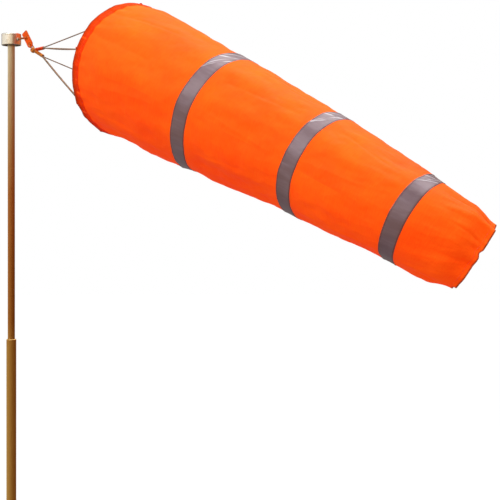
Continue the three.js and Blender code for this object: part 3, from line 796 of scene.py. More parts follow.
def add_uv(piece, rows, columns, across, along):
    """A UV map in metres, across the columns and along the rows."""
    layer = piece.data.uv_layers.new(name="cloth")
    loops = np.zeros(len(piece.data.loops), np.int32)
    piece.data.loops.foreach_get("vertex_index", loops)
    column, row = loops % columns, loops // columns % rows
    first = np.zeros(len(piece.data.polygons), np.int32)
    piece.data.polygons.foreach_get("loop_start", first)
    size = np.zeros(len(piece.data.polygons), np.int32)
    piece.data.polygons.foreach_get("loop_total", size)
    owner = np.repeat(np.arange(len(size)), size)
    lowest = np.minimum.reduceat(column, first)[owner]
    highest = np.maximum.reduceat(column, first)[owner]
    wrapped = (highest - lowest > columns // 2) & (column < columns // 2)
    u = (column + columns * wrapped) / columns * across
    uv = np.stack([u, np.asarray(along)[row]], axis=1)
    layer.data.foreach_set("uv", uv.astype(np.float32).ravel())


THETA = round_angles(ROUND)


def cloth_section(name, start, end):
    """One length of the sock's cloth, as a thin sheet. The shell that the modifier adds is its outside."""
    pitch = 3 * MM
    s = np.linspace(start, end, max(8, round((end - start) / pitch)))
    points = cloth_point(s[:, None], THETA[None, :]).reshape(-1, 3)
    faces = grid_faces(len(s), ROUND)
    piece = add_mesh(name, points, faces, SHADED_CLOTH_INSIDE)
    add_uv(piece, len(s), ROUND, girth((start + end) / 2), s)
    thick = piece.modifiers.new("thickness", "SOLIDIFY")
    thick.thickness = CLOTH_THICK
    thick.offset = -1
    piece.data.materials.append(CLOTH)
    thick.material_offset = 1
    return piece


SOCK_BODIES = ("sock_front", "sock_middle", "sock_tail")


def ride_length(piece, i):
    """Attach a piece of the sock's length i: the first length to sock_front, the last to sock_tail. The two
    middle lengths are attached to no body; their place is baked into their mesh.
    """
    if i in (1, 2):
        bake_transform(piece)
    else:
        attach(piece, "sock_front" if i == 0 else "sock_tail")


def make_cloth():
    """The sock's cloth in four lengths, which meet under the tapes."""
    edges = [2 * MM, *BANDS, LENGTH - 1 * MM]
    names = ["cloth_mouth_length", "cloth_second_length", "cloth_third_length", "cloth_tail_length"]
    replaced = ["front_panel", "middle_panel", "tail_panel", None]
    for i, (name, start, end) in enumerate(zip(names, edges, edges[1:])):
        piece = cloth_section(name, start, end)
        finish_piece(piece, "sock_cloth")
        ride_length(piece, i)
        if replaced[i]:
            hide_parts(replaced[i])


TAPES = (
    # half the width, how far it sits back towards the mouth, and how much further back underneath
    (17.5 * MM, 4 * MM, 18 * MM), (17.0 * MM, 2 * MM, 2 * MM), (14.5 * MM, 4 * MM, 2 * MM),
)


def slipped(s, theta, back, under):
    """The distance from the mouth of a tape's point, on the crooked line that it is sewn along."""
    return s - back - under * near_angle(theta, -88, 66)


TAPE_ROWS, TAPE_ROUND = 41, 480  # points across and round a tape
BRIGHTEST_PAINTED_HIGHLIGHT = (0.9, 0.9, 0.7)  # how white the painted highlight along each tape's creases may be


def make_bands():
    """Three sewn reflective tapes. Fine creases across them catch the light near the top, and a painted
    highlight runs along each.
    """
    for i, (middle, body) in enumerate(zip(BANDS, SOCK_BODIES)):
        half, back, under = TAPES[i]
        across = np.linspace(-half, half, TAPE_ROWS)
        s = np.concatenate([middle + across, middle + across[::-1]])
        top = np.full(len(across), 0.75 * MM)
        top[[0, -1]] = 0.45 * MM
        lift = np.concatenate([top, np.full(len(across), 0.1 * MM)])
        theta = round_angles(TAPE_ROUND)
        place = slipped(s[:, None], theta[None, :], back, under)
        points = cloth_point(place, theta[None, :], lift[:, None])
        raised = 0.35 * (lift > 0.3 * MM)[:, None]
        outward = unit(points - LINE.at(place)[0])
        painted_highlight = np.zeros((len(s), len(theta)))
        for at, slope, width, depth in BAND_CREASES:
            middle_angle = math.radians(at + 5 * i) + slope * (s[:, None] - middle) / half * 0.35
            off = turn_between(theta[None, :], middle_angle)
            points = points + outward * (raised * depth * MM * np.exp(-np.abs(off) / width))[..., None]
            # The painted highlight is patchy along each crease.
            painted_lighting = field(theta[None, :], s[:, None], 4.0, 0.5, 4.0 * i + at)
            patchy = np.clip(0.65 + 1.5 * painted_lighting, 0, BRIGHTEST_PAINTED_HIGHLIGHT[i])
            painted_highlight = np.maximum(painted_highlight, np.exp(-(off / (0.7 * width)) ** 2) * patchy)
        faces = grid_faces(len(s), len(theta), wrap_rows=True)
        piece = add_mesh(f"reflective_tape_{i + 1}", points.reshape(-1, 3), faces, TAPE, sharp_above=60)
        add_uv(piece, len(s), len(theta), girth(middle), s)
        paint(piece, "painted_highlight", painted_highlight)
        # Painted shade along each tape's edges.
        painted_edge_shade = 1 - step(0.8 * MM, 3.2 * MM, half - np.abs(s - middle))
        paint(piece, "edge", np.repeat(0.8 * painted_edge_shade, len(theta)))
        finish_piece(piece, "reflective_tape", body, f"reflective_band_{i + 1}")
        for edge in (-1, 1):
            row_at = middle + edge * (half - 2.2 * MM)
            stitch_ring(f"tape_stitches_{i + 1}_{'a' if edge < 0 else 'b'}", row_at, 0.85 * MM,
                        RUST_THREAD, "reflective_tape", body, slip=(back, under))


def stitch_mesh(name, starts, ends, outward, material, thick=0.28 * MM):
    """Short raised stitches, each a low rounded bar from its start to its end."""
    starts, ends, outward = map(np.asarray, (starts, ends, outward))
    along = unit(ends - starts)
    across = unit(np.cross(along, outward)) * thick
    rise = outward * thick
    places = []
    for share, height, width in ((0.0, -0.4, 0.6), (0.25, 1.0, 1.0), (0.75, 1.0, 1.0), (1.0, -0.4, 0.6)):
        middle = starts + (ends - starts) * share
        for turn in range(6):
            a = 2 * math.pi * turn / 6
            reach = height * 0.6 + width * math.sin(a) * 0.9
            places.append(middle + across * width * math.cos(a) + rise * reach)
    points = np.stack(places, axis=1)
    count = points.shape[1]
    one = [tuple(f) for f in grid_faces(4, 6)] + [tuple(range(6))[::-1], tuple(range(18, 24))]
    faces = [tuple(count * k + i for i in f) for k in range(len(starts)) for f in one]
    return add_mesh(name, points.reshape(-1, 3), faces, material)


def stitch_ring(name, s, lift, material, slot, body, slip=(0.0, 0.0)):
    """A row of stitches round the sock. slip is how far the row strays, as for the tape under it."""
    pitch, share = 3.4 * MM, 0.72
    count = int(girth(s) / pitch)
    start = round_angles(count)
    end = start + share * 2 * np.pi / count
    first, last = slipped(s, start, *slip), slipped(s, end, *slip)
    a, b = cloth_point(first, start, lift), cloth_point(last, end, lift)
    middle = LINE.at(first)[0]
    finish_piece(stitch_mesh(name, a, b, unit((a + b) / 2 - middle), material), slot, body)


def make_long_seam_stitches():
    """Two rows of stitches down the felled seam, a piece for each length of cloth."""
    edges = [0.020, *BANDS, LENGTH - 0.016]
    gap = BAND_HALF + 1 * MM
    for i, (start, end) in enumerate(zip(edges, edges[1:])):
        first, last = start + (gap if i else 0), end - (gap if i < 3 else 0)
        at = np.arange(first, last - 3 * MM, 3.4 * MM)
        a, b, out = [], [], []
        for edge in (-1, 1):
            theta = SEAM_AT + edge * 0.62 * SEAM_HALF / np.polyval(CONE, at)
            a.append(cloth_point(at, theta, 0.1 * MM))
            b.append(cloth_point(at + 2.4 * MM, theta, 0.1 * MM))
            out.append(unit(a[-1] - LINE.at(at)[0]))
        a, b, out = map(np.vstack, (a, b, out))
        piece = stitch_mesh(f"seam_stitches_{i + 1}", a, b, out, ORANGE_THREAD)
        finish_piece(piece, "sock_cloth")
        ride_length(piece, i)


HEM_LUMPS = (
    # at (degrees), size
    (-33, 1.6), (-48, 1.5), (-41, -0.8), (-70, 1.7), (-61, -0.8), (38, 1.1), (67, 1.2), (150, 1.4),
)


def make_mouth_hem():
    """The doubled hem that holds the hoop: a teardrop section with uneven gathers along its stitches."""
    sleeve = HOOP_WIRE + 1.1 * MM
    stitch = 17 * MM
    theta = round_angles(2 * ROUND)
    _, side, up, forward = ring_frames(np.array(0.0))
    gather = ripple(theta, 0.0, [(37, 0.5, 0.2, 0), (53, 0.35, 1.4, 0), (23, 0.4, 2.0, 0), (71, 0.2, 0.7, 0)])
    lump = np.array([noise.noise((math.cos(t) * 4, math.sin(t) * 4, 7.0)) for t in theta])
    for at, size in HEM_LUMPS:
        lump = lump + size * near_angle(theta, at, 5)
    rows = [
        cloth_point(stitch, theta, 0.7 * MM + 0.35 * MM * gather),
        cloth_point(11 * MM, theta, 0.85 * MM + 0.55 * MM * gather + 0.5 * MM * lump),
        cloth_point(5.5 * MM, theta, 0.8 * MM + 0.3 * MM * gather + 0.6 * MM * lump),
    ]
    first_turn, turns = len(rows), 12
    radial = side * np.cos(theta)[:, None] + up * np.sin(theta)[:, None]
    for turn in np.radians(np.linspace(75, 285, turns)):
        grow = sleeve + 0.35 * MM * gather * abs(math.cos(turn)) + 0.7 * MM * lump
        reach = HOOP_RADIUS + grow * math.sin(turn)
        rows.append(HOOP_CENTRE + radial * reach[:, None] + forward * (grow * math.cos(turn))[:, None])
    rows += [
        cloth_point(6 * MM, theta, -3.2 * MM + 0.4 * MM * gather),
        cloth_point(12 * MM, theta, -1.4 * MM + 0.5 * MM * gather),
        cloth_point(stitch, theta, -0.8 * MM + 0.3 * MM * gather),
    ]
    faces = grid_faces(len(rows), len(theta), wrap_rows=True)
    piece = add_mesh("mouth_hem_cloth", np.vstack(rows), faces, SHADED_HEM_CLOTH, sharp_above=70)
    add_uv(piece, len(rows), len(theta), 2 * np.pi * HOOP_RADIUS, np.linspace(0, 0.05, len(rows)))
    rim = np.zeros(len(rows))  # painted shade: a dark line round the hem's rim, most of all on the rows that turn round the hoop
    rim[first_turn:first_turn + turns] = np.clip(np.sin(np.linspace(0.35, np.pi, turns)) * 2.0, 0, 1)
    rim[first_turn - 1] = 0.4
    paint(piece, "painted_shade", np.repeat(0.95 * rim, len(theta)))
    finish_piece(piece, "sock_cloth", "sock_front", "mouth_hem")
    for row, back, lift in (("a", 1.6 * MM, 1.0 * MM), ("b", 5.0 * MM, 1.3 * MM)):
        name = f"mouth_hem_stitches_{row}"
        stitch_ring(name, stitch - back, lift, ORANGE_THREAD, "sock_cloth", "sock_front")


def make_tail_hem():
    """The tail's edge, turned in and sewn."""
    first, last = LENGTH - 13 * MM, LENGTH
    s = np.concatenate([np.linspace(first, last, 7), np.linspace(last, first, 7)])
    lift = np.array([0.10, 0.45, 0.55, 0.55, 0.55, 0.50, 0.20, -0.4, -1.0, -1.1, -1.1, -1.1, -1.0, -0.6]) * MM
    points = cloth_point(s[:, None], THETA[None, :], lift[:, None]).reshape(-1, 3)
    faces = grid_faces(len(s), ROUND, wrap_rows=True)
    piece = add_mesh("tail_hem_cloth", points, faces, CLOTH, sharp_above=50)
    add_uv(piece, len(s), ROUND, girth(s.mean()), s)
    finish_piece(piece, "sock_cloth", "sock_tail", "tail_hem")
    # Painted shade: a dark line along the tail's edge.
    paint(piece, "painted_shade", np.repeat(step(last - 4.5 * MM, last - 0.8 * MM, s), ROUND))
    stitch_ring("tail_hem_stitches", first + 2.2 * MM, 0.6 * MM, ORANGE_THREAD, "sock_cloth", "sock_tail")


# ---------------------------------------------------------------- bridle

KNOT = centre_of("bridle_knot")
CORD_RADIUS = 1.2 * MM


def make_bridle_cords():
    """Six twisted cords, from the two whipped bundles to the hoop. The lowest two are thicker."""
    for i in range(1, 7):
        node = f"bridle_cord_{i}"
        near, far = ends_of(node, KNOT)
        split = ends_of("upper_leader" if i <= 3 else "lower_leader", KNOT)[1]
        towards = unit(far - split)
        a = split + unit(near - split - ((near - split) @ towards) * towards) * CORD_RADIUS
        b = far + towards * 4.0 * MM
        count = int(np.linalg.norm(b - a) / (1.1 * MM))
        share = np.linspace(0, 1, count)
        path = a + (b - a) * share[:, None]
        path[:, 2] -= 1.6 * MM * np.sin(np.pi * share)
        radius = CORD_RADIUS * (1.7 if i >= 5 else 1.12)
        piece = tube(f"cord_{i}", path, radius, CORD, sides=18, section=CORD_LAY)
        finish_piece(piece, "cord", "sock_front", node)


def helix(start, end, radius, turns, steps_a_turn=14):
    """Points of a helix round the line from start to end."""
    axis = unit(end - start)
    side = unit(np.cross(axis, [0.0, 1.0, 0.0]))
    up = np.cross(axis, side)
    t = np.linspace(0, 1, int(turns * steps_a_turn))[:, None]
    angle = 2 * np.pi * turns * t
    return start + (end - start) * t + (side * np.cos(angle) + up * np.sin(angle)) * radius


WINDINGS = {
    # for each bundle, the cord round it, and where each winding starts and ends, as shares, and its turns
    "upper": (LACING, ((0.02, 0.97, 17),)),
    "lower": (WHIPPING, ((0.02, 0.60, 11), (0.66, 0.98, 6))),
}


def make_bundles():
    """Each bundle is three cords laid together under a tight winding of another cord."""
    for name, (thread, rows) in WINDINGS.items():
        near, far = ends_of(f"{name}_leader", KNOT)
        axis = unit(far - near)
        inset = axis * 3 * MM
        parts = []
        for k in range(3):
            path = helix(near - inset, far + axis * 1.2 * MM, 1.5 * MM, 0.9, 34)
            turn = 2 * np.pi * k / 3
            middle = near - inset + np.outer((path - near + inset) @ axis, axis)
            away = path - middle
            path = middle + away * math.cos(turn) + np.cross(axis, away) * math.sin(turn)
            parts.append(tube("strand", path, 1.35 * MM, CORD, sides=12, section=CORD_LAY))
        finish_piece(merge(f"{name}_bundle", parts, CORD), "cord", "sock_front", f"{name}_leader")
        reach = np.linalg.norm(far - near)
        wound = []
        for first, last, turns in rows:
            path = helix(near + axis * reach * first, near + axis * reach * last, 3.1 * MM, turns)
            wound.append(tube("winding", path, 0.72 * MM, thread, sides=8))
        finish_piece(merge(f"{name}_whipping", wound, thread), "cord", "sock_front")


def knot_path(centre, size, axis, count=120):
    """A closed trefoil, squashed into a lump."""
    axis = unit(axis)
    side = unit(np.cross(axis, [0.13, 1.0, 0.21]))
    up = np.cross(axis, side)
    t = round_angles(count)
    x = (np.sin(t) + 2 * np.sin(2 * t)) / 3
    y = (np.cos(t) - 2 * np.cos(2 * t)) / 3
    z = -np.sin(3 * t) * 0.55
    return centre + size * (np.outer(x, side) + np.outer(y, up) + np.outer(z, axis))


def make_bridle_knot():
    """Two trefoils, one drawn into the other."""
    pull = unit(KNOT - centre_of("bridle_ring"))
    loops = [
        tube("loop", path, radius, WHIPPING, sides=14, closed=True, section=KNOT_LAY)
        for path, radius in (
            (knot_path(KNOT - pull * 1.0 * MM, 5.3 * MM, pull), 2.0 * MM),
            (knot_path(KNOT + pull * 0.6 * MM, 4.2 * MM, pull + [0.2, 0.7, 0.3]), 1.8 * MM),
        )
    ]
    finish_piece(merge("bridle_knot_cord", loops, WHIPPING), "cord", "sock_front", "bridle_knot")


def make_hoop_ties():
    """At each cord's end, two turns round the hem and a small knot."""
    forward = ring_frames(np.array(0.0))[3]
    for i in range(1, 7):
        knot = centre_of(f"hoop_knot_{i}")
        radial = unit(knot - HOOP_CENTRE - ((knot - HOOP_CENTRE) @ forward) * forward)
        along = np.cross(forward, radial)
        at_wire = HOOP_CENTRE + radial * HOOP_RADIUS
        ties = []
        t = round_angles(44)
        for shift, lean in ((-1.0, 0.25), (1.0, -0.2)):
            loop = np.outer(np.cos(t), radial) * 4.3 * MM + np.outer(np.sin(t), forward) * 4.3 * MM
            loop += np.outer(np.cos(t) * lean * MM + shift * MM, along)
            ties.append(tube("loop", at_wire + loop, 0.9 * MM, LACING, sides=12, closed=True,
                             section=LACING_LAY))
        _, far = ends_of(f"bridle_cord_{i}", KNOT)
        pull = unit(far - knot)
        parts = [tube("knot", knot_path(knot, 2.5 * MM, pull + 0.4 * along, 90), CORD_RADIUS * 0.9, CORD,
                      sides=12, closed=True, section=CORD_LAY)]
        tail = unit(-pull + 0.9 * along - 0.3 * UP)
        free = np.array([knot + tail * d * MM - UP * 0.02 * d * d * MM for d in np.linspace(0, 9, 14)])
        parts.append(tube("end", free, CORD_RADIUS * np.linspace(0.9, 1.0, 14), CORD, sides=12,
                          section=CORD_LAY))
        finish_piece(merge(f"hoop_tie_{i}", parts, CORD), "cord", "sock_front", f"hoop_knot_{i}")
        finish_piece(merge(f"hoop_lacing_{i}", ties, LACING), "cord", "sock_front")


def make_bridle_ring():
    """A round wire ring, with the raised weld where its ends meet."""
    centre, axis, radius = ring_of("bridle_ring")
    wire = 1.6 * MM
    side = unit(np.cross(axis, UP))
    up = np.cross(axis, side)
    t = round_angles(96)
    path = centre + radius * (np.outer(np.cos(t), side) + np.outer(np.sin(t), up))
    weld = 1 + 0.10 * np.exp(-((t - 2.2) / 0.10) ** 2)
    piece = tube("bridle_ring_wire", path, wire * weld, RING, sides=18, closed=True)
    finish_piece(piece, "plated_steel", "sock_front", "bridle_ring")


# ---------------------------------------------------------------- tab

def tab_axes():
    """The tab's pivot, the direction down it, the direction across it and its face's normal."""
    pivot, low = centre_of("upper_tab_eyelet"), centre_of("lower_tab_eyelet")
    down = unit(low - pivot)
    normal = np.array([0.0, 1.0, 0.0])
    return pivot, down, np.cross(normal, down), normal


def make_tab():
    """Two layers of webbing, cut at the top and round at the bottom, and pressed in along their edge."""
    pivot, down, across, normal = tab_axes()
    rows, columns = 61, 25
    above, below, wide_half = 16.5 * MM, 25.5 * MM, 8.6 * MM  # from the upper eyelet's middle
    cut = 2 * MM  # off each upper corner
    u = np.linspace(-above, below, rows)
    v = np.linspace(-1, 1, columns)
    layers = []
    for face in (-1, 1):
        half = wide_half - np.maximum(cut - (u + above), 0)
        round_from = below - wide_half
        tip = u > round_from
        half[tip] = np.sqrt(np.maximum(wide_half**2 - (u[tip] - round_from) ** 2, (0.4 * MM) ** 2))
        wide = half[:, None] * v[None, :]
        edge = np.minimum(half[:, None] - np.abs(wide),
                          np.minimum(u[:, None] + above, below - u[:, None]) + 0.4 * MM)
        crown = 1.50 * MM * (1 - np.exp(-np.maximum(edge, 0) / (0.55 * MM)))
        sink = 0.45 * MM * np.exp(-((edge - 2.0 * MM) / (0.7 * MM)) ** 2)
        depth = face * (0.12 * MM + crown - sink)
        place = pivot + u[:, None, None] * down + wide[..., None] * across + depth[..., None] * normal
        layers.append(place.reshape(-1, 3))
    front = grid_faces(rows, columns, wrap_columns=False)
    size = rows * columns
    back = front[:, ::-1] + size
    edge_loop = [(0, c) for c in range(columns)]
    edge_loop += [(r, columns - 1) for r in range(1, rows)]
    edge_loop += [(rows - 1, c) for c in range(columns - 2, -1, -1)]
    edge_loop += [(r, 0) for r in range(rows - 2, 0, -1)]
    loop = [r * columns + c for r, c in edge_loop]
    walls = [(a, b, b + size, a + size) for a, b in zip(loop, loop[1:] + loop[:1])]
    faces = [*map(tuple, front[:, ::-1]), *map(tuple, back[:, ::-1]), *walls]
    piece = add_mesh("tab_webbing", np.vstack(layers), faces, WEBBING)
    layer = piece.data.uv_layers.new(name="cloth")
    for item in piece.data.loops:
        index = item.vertex_index % size
        layer.data[item.index].uv = (v[index % columns] * wide_half, u[index // columns])
    # Painted shade: darker within 1.6 mm of the tab's edges. It is also darker over its top 4.5 mm, left of
    # the middle.
    painted_lighting = 1 - step(0.2 * MM, 1.6 * MM, edge)
    painted_lighting = np.maximum(painted_lighting, 0.75 * step(-12 * MM, -above, u)[:, None] * (v < 0.2))
    paint(piece, "painted_shade", np.concatenate([painted_lighting, painted_lighting]))
    finish_piece(piece, "webbing", "tab", "webbing_tab")
    make_tab_stitches(pivot, down, across, normal)


def make_tab_stitches(pivot, down, across, normal):
    """A sewn box and cross on each face of the tab, between its eyelets and its ends."""
    starts, ends, out = [], [], []
    corners = [(-14, -6), (-14, 6), (15, 6), (20.5, 3.6), (21.8, 0), (20.5, -3.6), (15, -6)]
    lines = list(zip(corners, corners[1:] + corners[:1]))
    lines += [((-13, -5), (-8, 5)), ((-13, 5), (-8, -5)), ((-7, -6), (-7, 6))]
    for (u0, v0), (u1, v1) in lines:
        a, b = np.array([u0, v0]) * MM, np.array([u1, v1]) * MM
        count = max(1, round(np.linalg.norm(b - a) / (2.3 * MM)))
        for k in range(count):
            p, q = a + (b - a) * (k + 0.12) / count, a + (b - a) * (k + 0.88) / count
            for face in (-1, 1):
                lift = normal * face * 1.35 * MM
                starts.append(pivot + down * p[0] + across * p[1] + lift)
                ends.append(pivot + down * q[0] + across * q[1] + lift)
                out.append(normal * face)
    piece = stitch_mesh("tab_stitches", starts, ends, out, ORANGE_THREAD, thick=0.24 * MM)
    finish_piece(piece, "webbing", "tab")


def make_eyelets():
    """Rolled eyelets through the tab, lacquered in its colour."""
    for node, hole, flange in (("upper_tab_eyelet", 2.7, 5.0), ("lower_tab_eyelet", 2.4, 4.8)):
        half = 1.75
        upper = [(hole, 0.0), (hole, half), *round_corner(hole + 0.55, half, 0.55, 180, 20),
                 (flange - 0.5, half + 0.12), *round_corner(flange - 0.35, half - 0.15, 0.35, 60, -60),
                 (hole + 0.4, 0.9)]
        profile = upper + [(r, -z) for r, z in upper[::-1][:-1]]
        piece = lathe(node + "_rolled", [(r * MM, z * MM) for r, z in profile], EYELET, 64)
        points = np.array([v.co for v in piece.data.vertices])
        turned = np.stack([points[:, 0], points[:, 2], -points[:, 1]], axis=1) + centre_of(node)
        piece.data.vertices.foreach_set("co", turned.astype(np.float32).ravel())
        piece.data.update()
        finish_piece(piece, "plated_steel", "tab", node)


# ---------------------------------------------------------------- pole and head

def make_pole():
    """Two drawn tubes. The lower one is rolled in at its top, and the upper one's ends are chamfered."""
    bottom, top = (corner.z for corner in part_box("lower_tube"))
    outside, inside = 11.0 * MM, 10.0 * MM
    outer = [(outside, h) for h in np.linspace(bottom, top - 6 * MM, 60)]
    rim = [(r * MM, top + z * MM) for r, z in (
        (11.0, -5.2), (11.12, -4.6), (11.12, -3.4), (10.95, -2.6), *round_corner(8.9, -2.0, 2.0, 10, 90, 8),
        (8.45, -0.05), (8.35, -0.4), (8.4, -1.0), (9.4, -2.2), (10.0, -4.0))]
    profile = [(inside, bottom), *outer, *rim, (inside, top - 8 * MM)]
    finish_piece(lathe("lower_pole_tube", profile, POLE), "pole_steel", "pole_base", "lower_tube")
    bottom, top = (corner.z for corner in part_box("upper_tube"))
    outside, inside, edge, chamfer = 8.0 * MM, 7.2 * MM, 7.7 * MM, 0.4 * MM
    outer = [(outside, h) for h in np.linspace(bottom + chamfer, top - chamfer, 60)]
    profile = [(inside, bottom), (edge, bottom), *outer, (edge, top), (inside, top)]
    finish_piece(lathe("upper_pole_tube", profile, POLE), "pole_steel", "mast", "upper_tube")


def make_foot():
    """A ribbed rubber cap with a flat foot."""
    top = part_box("foot_cap")[1].z / MM
    outside, corner, floor, groove = 13.3, 1.2, 4.2, 0.7  # mm
    profile = [(0, 0), (outside - 1.5, 0), *round_corner(outside - corner, corner, corner, -90, 0, 5)]
    for k in range(5):
        z = 6 + 4.6 * k
        inner = outside - groove
        profile += [(outside, z), (inner, z + 0.7), (inner, z + 1.6), (outside, z + 2.3)]
    profile += [*round_corner(outside - corner, top - corner, corner, 0, 90, 5)]
    profile += [(11.3, top), (11.2, floor), (0, floor)]
    piece = lathe("rubber_foot", [(r * MM, z * MM) for r, z in profile], RUBBER)
    finish_piece(piece, "rubber", "pole_base", "foot_cap")


def make_drum():
    """A turned steel cap with a rounded shoulder, a fine groove and a rolled lower edge."""
    low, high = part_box("drum_shell")
    bottom, top, radius = low.z / MM, high.z / MM, 22.0
    shoulder, lip, wall, roof = 1.8, 0.7, 1.4, 2.0  # mm
    profile = [(0, top), (6.0, top), (6.4, top - 0.25), (7.0, top)]
    profile += [(radius - 2.2, top), *round_corner(radius - shoulder, top - shoulder, shoulder, 90, 0, 8)]
    profile += [(radius, top - 4.0), (radius - 0.35, top - 4.35), (radius, top - 4.7)]
    profile += [(radius, bottom + 1.0), *round_corner(radius - lip, bottom + lip, lip, 0, -90, 5)]
    profile += [(radius - wall, bottom), (radius - wall, top - roof), (0, top - roof)]
    points = [(r * MM, z * MM) for r, z in profile[::-1]]
    finish_piece(lathe("swivel_drum", points, BRIGHT, 128), "bright_steel", "swivel_head", "drum_shell")


def make_grub_screws():
    """Three headless screws in the drum's side, each with a hexagon socket."""
    for i in (1, 2, 3):
        centre = centre_of(f"grub_screw_{i}")
        low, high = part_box(f"grub_screw_{i}")
        axis = unit([centre[0], centre[1], 0])
        reach = max(abs(v) for v in (*low.xy, *high.xy))
        side = np.cross(axis, UP)
        outer, inner = 1.45 * MM, 0.75 * MM
        angle = round_angles(24)
        hexagon = hexagon_reach(angle, inner)
        rings = []
        for depth, size in ((5.3 * MM, outer), (0.25 * MM, outer), (0.0, outer * 0.9), (0.0, hexagon),
                            (1.6 * MM, hexagon)):
            wide = circle(angle, size, side, UP)
            rings.append(axis * (reach - depth) + np.array([0, 0, centre[2]]) + wide)
        faces = [tuple(f) for f in grid_faces(5, 24)]
        faces += [tuple(range(24))[::-1], tuple(range(96, 120))]
        piece = add_mesh(f"drum_screw_{i}", np.vstack(rings), faces, PLATED, sharp_above=40)
        finish_piece(piece, "plated_steel", "swivel_head", f"grub_screw_{i}")


def make_eye():
    """The drum's eye: a wire ring on a shank that is threaded at its inner end."""
    low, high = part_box("eye_stud")
    wire, radius = 1.3 * MM, 8 * MM
    centre = np.array([high.x - wire - radius, 0, (low.z + high.z) / 2])
    t = round_angles(80)
    loop = centre + radius * np.stack([np.cos(t), np.sin(t), 0 * t], axis=1)
    ring = tube("ring", loop, wire, EYE, sides=18, closed=True)
    start = low.x
    reach = centre[0] - radius - start
    xs = np.linspace(0, reach, 60)
    thread = 2.0 * MM - 0.22 * MM * (0.5 + 0.5 * np.cos(2 * np.pi * xs / (0.7 * MM)))
    thick = np.where(xs < 0.62 * reach, thread, 1.75 * MM)
    path = np.array([start, 0, centre[2]]) + xs[:, None] * [1, 0, 0]
    shank = tube("shank", path, thick, EYE, sides=20)
    finish_piece(merge("eye_bolt", [ring, shank], EYE), "plated_steel", "swivel_head", "eye_stud")


def make_eye_nut():
    """The hexagon nut that locks the eye, with its corners turned off."""
    stud_low, stud_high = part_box("eye_stud")
    height = (stud_low.z + stud_high.z) / 2
    low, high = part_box("eye_nut")
    half_across, bore, thickness, cut = 3.5 * MM, 2.3 * MM, high.x - low.x, 0.35 * MM
    angle = round_angles(72)
    hexagon = hexagon_reach(angle, half_across)
    turned = np.minimum(hexagon, half_across * 1.04)
    rings = []
    for x, size in ((0, bore), (0, turned), (cut, hexagon),
                    (thickness - cut, hexagon), (thickness, turned), (thickness, bore)):
        rings.append(np.array([low.x + x, 0, height]) + circle(angle, size, [0, 1, 0], UP))
    faces = grid_faces(len(rings), len(angle), wrap_rows=True)
    nut = add_mesh("eye_lock_nut", np.vstack(rings), faces, PLATED, sharp_above=30)
    finish_piece(nut, "plated_steel", "swivel_head", "eye_nut")


def finish_cad_nodes():
    """The nodes that keep their CAD shape: smooth turned faces and a material of their own."""
    finishes = {
        "pole_steel": POLE, "bright_steel": BRIGHT, "plated_steel": PLATED, "nylon": NYLON, "rubber": RUBBER,
        "sock_cloth": CLOTH, "reflective_tape": TAPE, "webbing": WEBBING, "cord": CORD,
    }
    slots = {part["node"]: part["material_slot"] for part in frame["record"]["subparts"]}
    for name, node in nodes.items():
        node.data.materials.clear()
        node.data.materials.append(finishes[slots[name]])
        node.data.polygons.foreach_set("use_smooth", [True] * len(node.data.polygons))
        node.data.set_sharp_from_angle(angle=math.radians(35))


# ---------------------------------------------------------------- stage

def add_area_light(name, place, facing, size, power):
    """A soft white light that faces a point."""
    light = bpy.data.lights.new(name, "AREA")
    light.shape = "RECTANGLE"
    light.size, light.size_y = size
    light.energy = power
    lamp = bpy.data.objects.new(name, light)
    bpy.context.scene.collection.objects.link(lamp)
    lamp.location = place
    lamp.rotation_euler = (Vector(facing) - Vector(place)).to_track_quat("-Z", "Y").to_euler()


WALLS = (
    # name, first and last azimuth from the pole in degrees, colour of its low and its high part
    ("cream_wall", -178, -92, (0.76, 0.58, 0.34), (1.02, 0.96, 0.84)),
    ("straw_wall", -92, -34, (0.56, 0.34, 0.11), (0.98, 0.82, 0.58)),
    ("brown_wall", -34, 62, (0.20, 0.065, 0.008), (0.34, 0.155, 0.055)),
    ("tan_wall", 62, 120, (0.30, 0.14, 0.035), (0.46, 0.28, 0.14)),
)
WALL_REACH, WALL_LOW, WALL_SEAM, WALL_HIGH = 5.0, -3.0, 1.7, 3.4  # metres
# Painted reflection: glowing cards beside the drum, standing in for the orange sock that it mirrors.
REFLECTION_CARDS = (
    # name, first and last azimuth, colour
    ("orange_reflection_card", 14, 78, (1.10, 0.130, 0.006)),
    ("red_reflection_card", 78, 140, (0.36, 0.036, 0.003)),
)
REFLECTION_CARD_REACH, REFLECTION_CARD_LOW, REFLECTION_CARD_HIGH = 0.2, 1.498, 1.80  # beside the drum, and above what the pole mirrors


def hide_from(item, *rays):
    """Keep an object out of what these kinds of ray see."""
    for ray in rays:
        setattr(item, f"visible_{ray}", False)


def add_card(name, first, last, count, reach, low, high, colour):
    """A glowing card that stands in an arc round the pole, and that only reflections show."""
    angle = np.radians(np.linspace(first, last, count))
    arc = [(reach * math.cos(a), reach * math.sin(a), z) for z in (low, high) for a in angle]
    card = add_mesh(name, arc, grid_faces(2, count, wrap_columns=False), glowing(name, colour))
    hide_from(card, "camera", "diffuse", "shadow", "transmission")


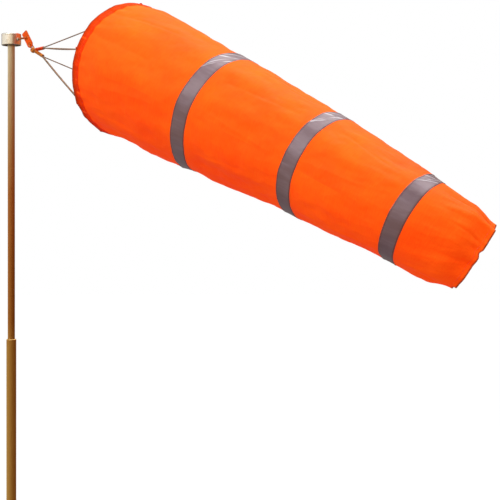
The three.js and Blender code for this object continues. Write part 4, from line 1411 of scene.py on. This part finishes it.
def make_surroundings():
    """What the bright metal mirrors: walls, from cream on its left to brown on its right, and two glowing
    cards beside the drum that give it a painted reflection of the orange sock.
    """
    for name, first, last, low_colour, high_colour in WALLS:
        add_card(f"{name}_low", first, last, 24, WALL_REACH, WALL_LOW, WALL_SEAM, low_colour)
        add_card(f"{name}_high", first, last, 24, WALL_REACH, WALL_SEAM, WALL_HIGH, high_colour)
    for name, first, last, colour in REFLECTION_CARDS:
        add_card(name, first, last, 12, REFLECTION_CARD_REACH, REFLECTION_CARD_LOW, REFLECTION_CARD_HIGH, colour)


def make_stage():
    """A pale floor under a white dome, two soft lights, and what the metal mirrors."""
    floor_half, reach = 30, 28  # metres
    corners = [(x * floor_half, y * floor_half, 0) for x, y in ((-1, -1), (1, -1), (1, 1), (-1, 1))]
    floor = add_mesh("floor", corners, [(0, 1, 2, 3)], floor_material(), smooth=False)
    hide_from(floor, "diffuse", "glossy")
    tilt = np.radians(np.linspace(-4, 89.5, 16))
    dome = [(reach * math.cos(e) * math.cos(a), reach * math.cos(e) * math.sin(a), reach * math.sin(e))
            for e in tilt for a in round_angles(48)]
    backdrop = add_mesh("backdrop", dome, grid_faces(16, 48), glowing("white_backdrop", (1, 1, 1)))
    hide_from(backdrop, "diffuse", "glossy", "shadow", "transmission")
    world = bpy.data.worlds.new("studio")
    world.use_nodes = True
    world.node_tree.nodes["Background"].inputs["Color"].default_value = (1.0, 0.985, 0.96, 1)
    world.node_tree.nodes["Background"].inputs["Strength"].default_value = 0.34
    bpy.context.scene.world = world
    middle = (0.6, 0, 1.15)
    add_area_light("key", (0.2, -2.6, 3.6), middle, (2.6, 2.0), 66)
    add_area_light("top", (1.0, 0.9, 4.2), middle, (3.0, 3.0), 105)
    make_surroundings()
    bpy.context.scene.view_settings.view_transform = "Standard"


make_bridle_cords()
make_bundles()
make_bridle_knot()
make_hoop_ties()
make_bridle_ring()
make_cloth()
make_bands()
make_mouth_hem()
make_tail_hem()
make_long_seam_stitches()
make_tab()
make_eyelets()
make_pole()
make_foot()
make_drum()
make_grub_screws()
make_eye()
make_eye_nut()
finish_cad_nodes()
make_stage()
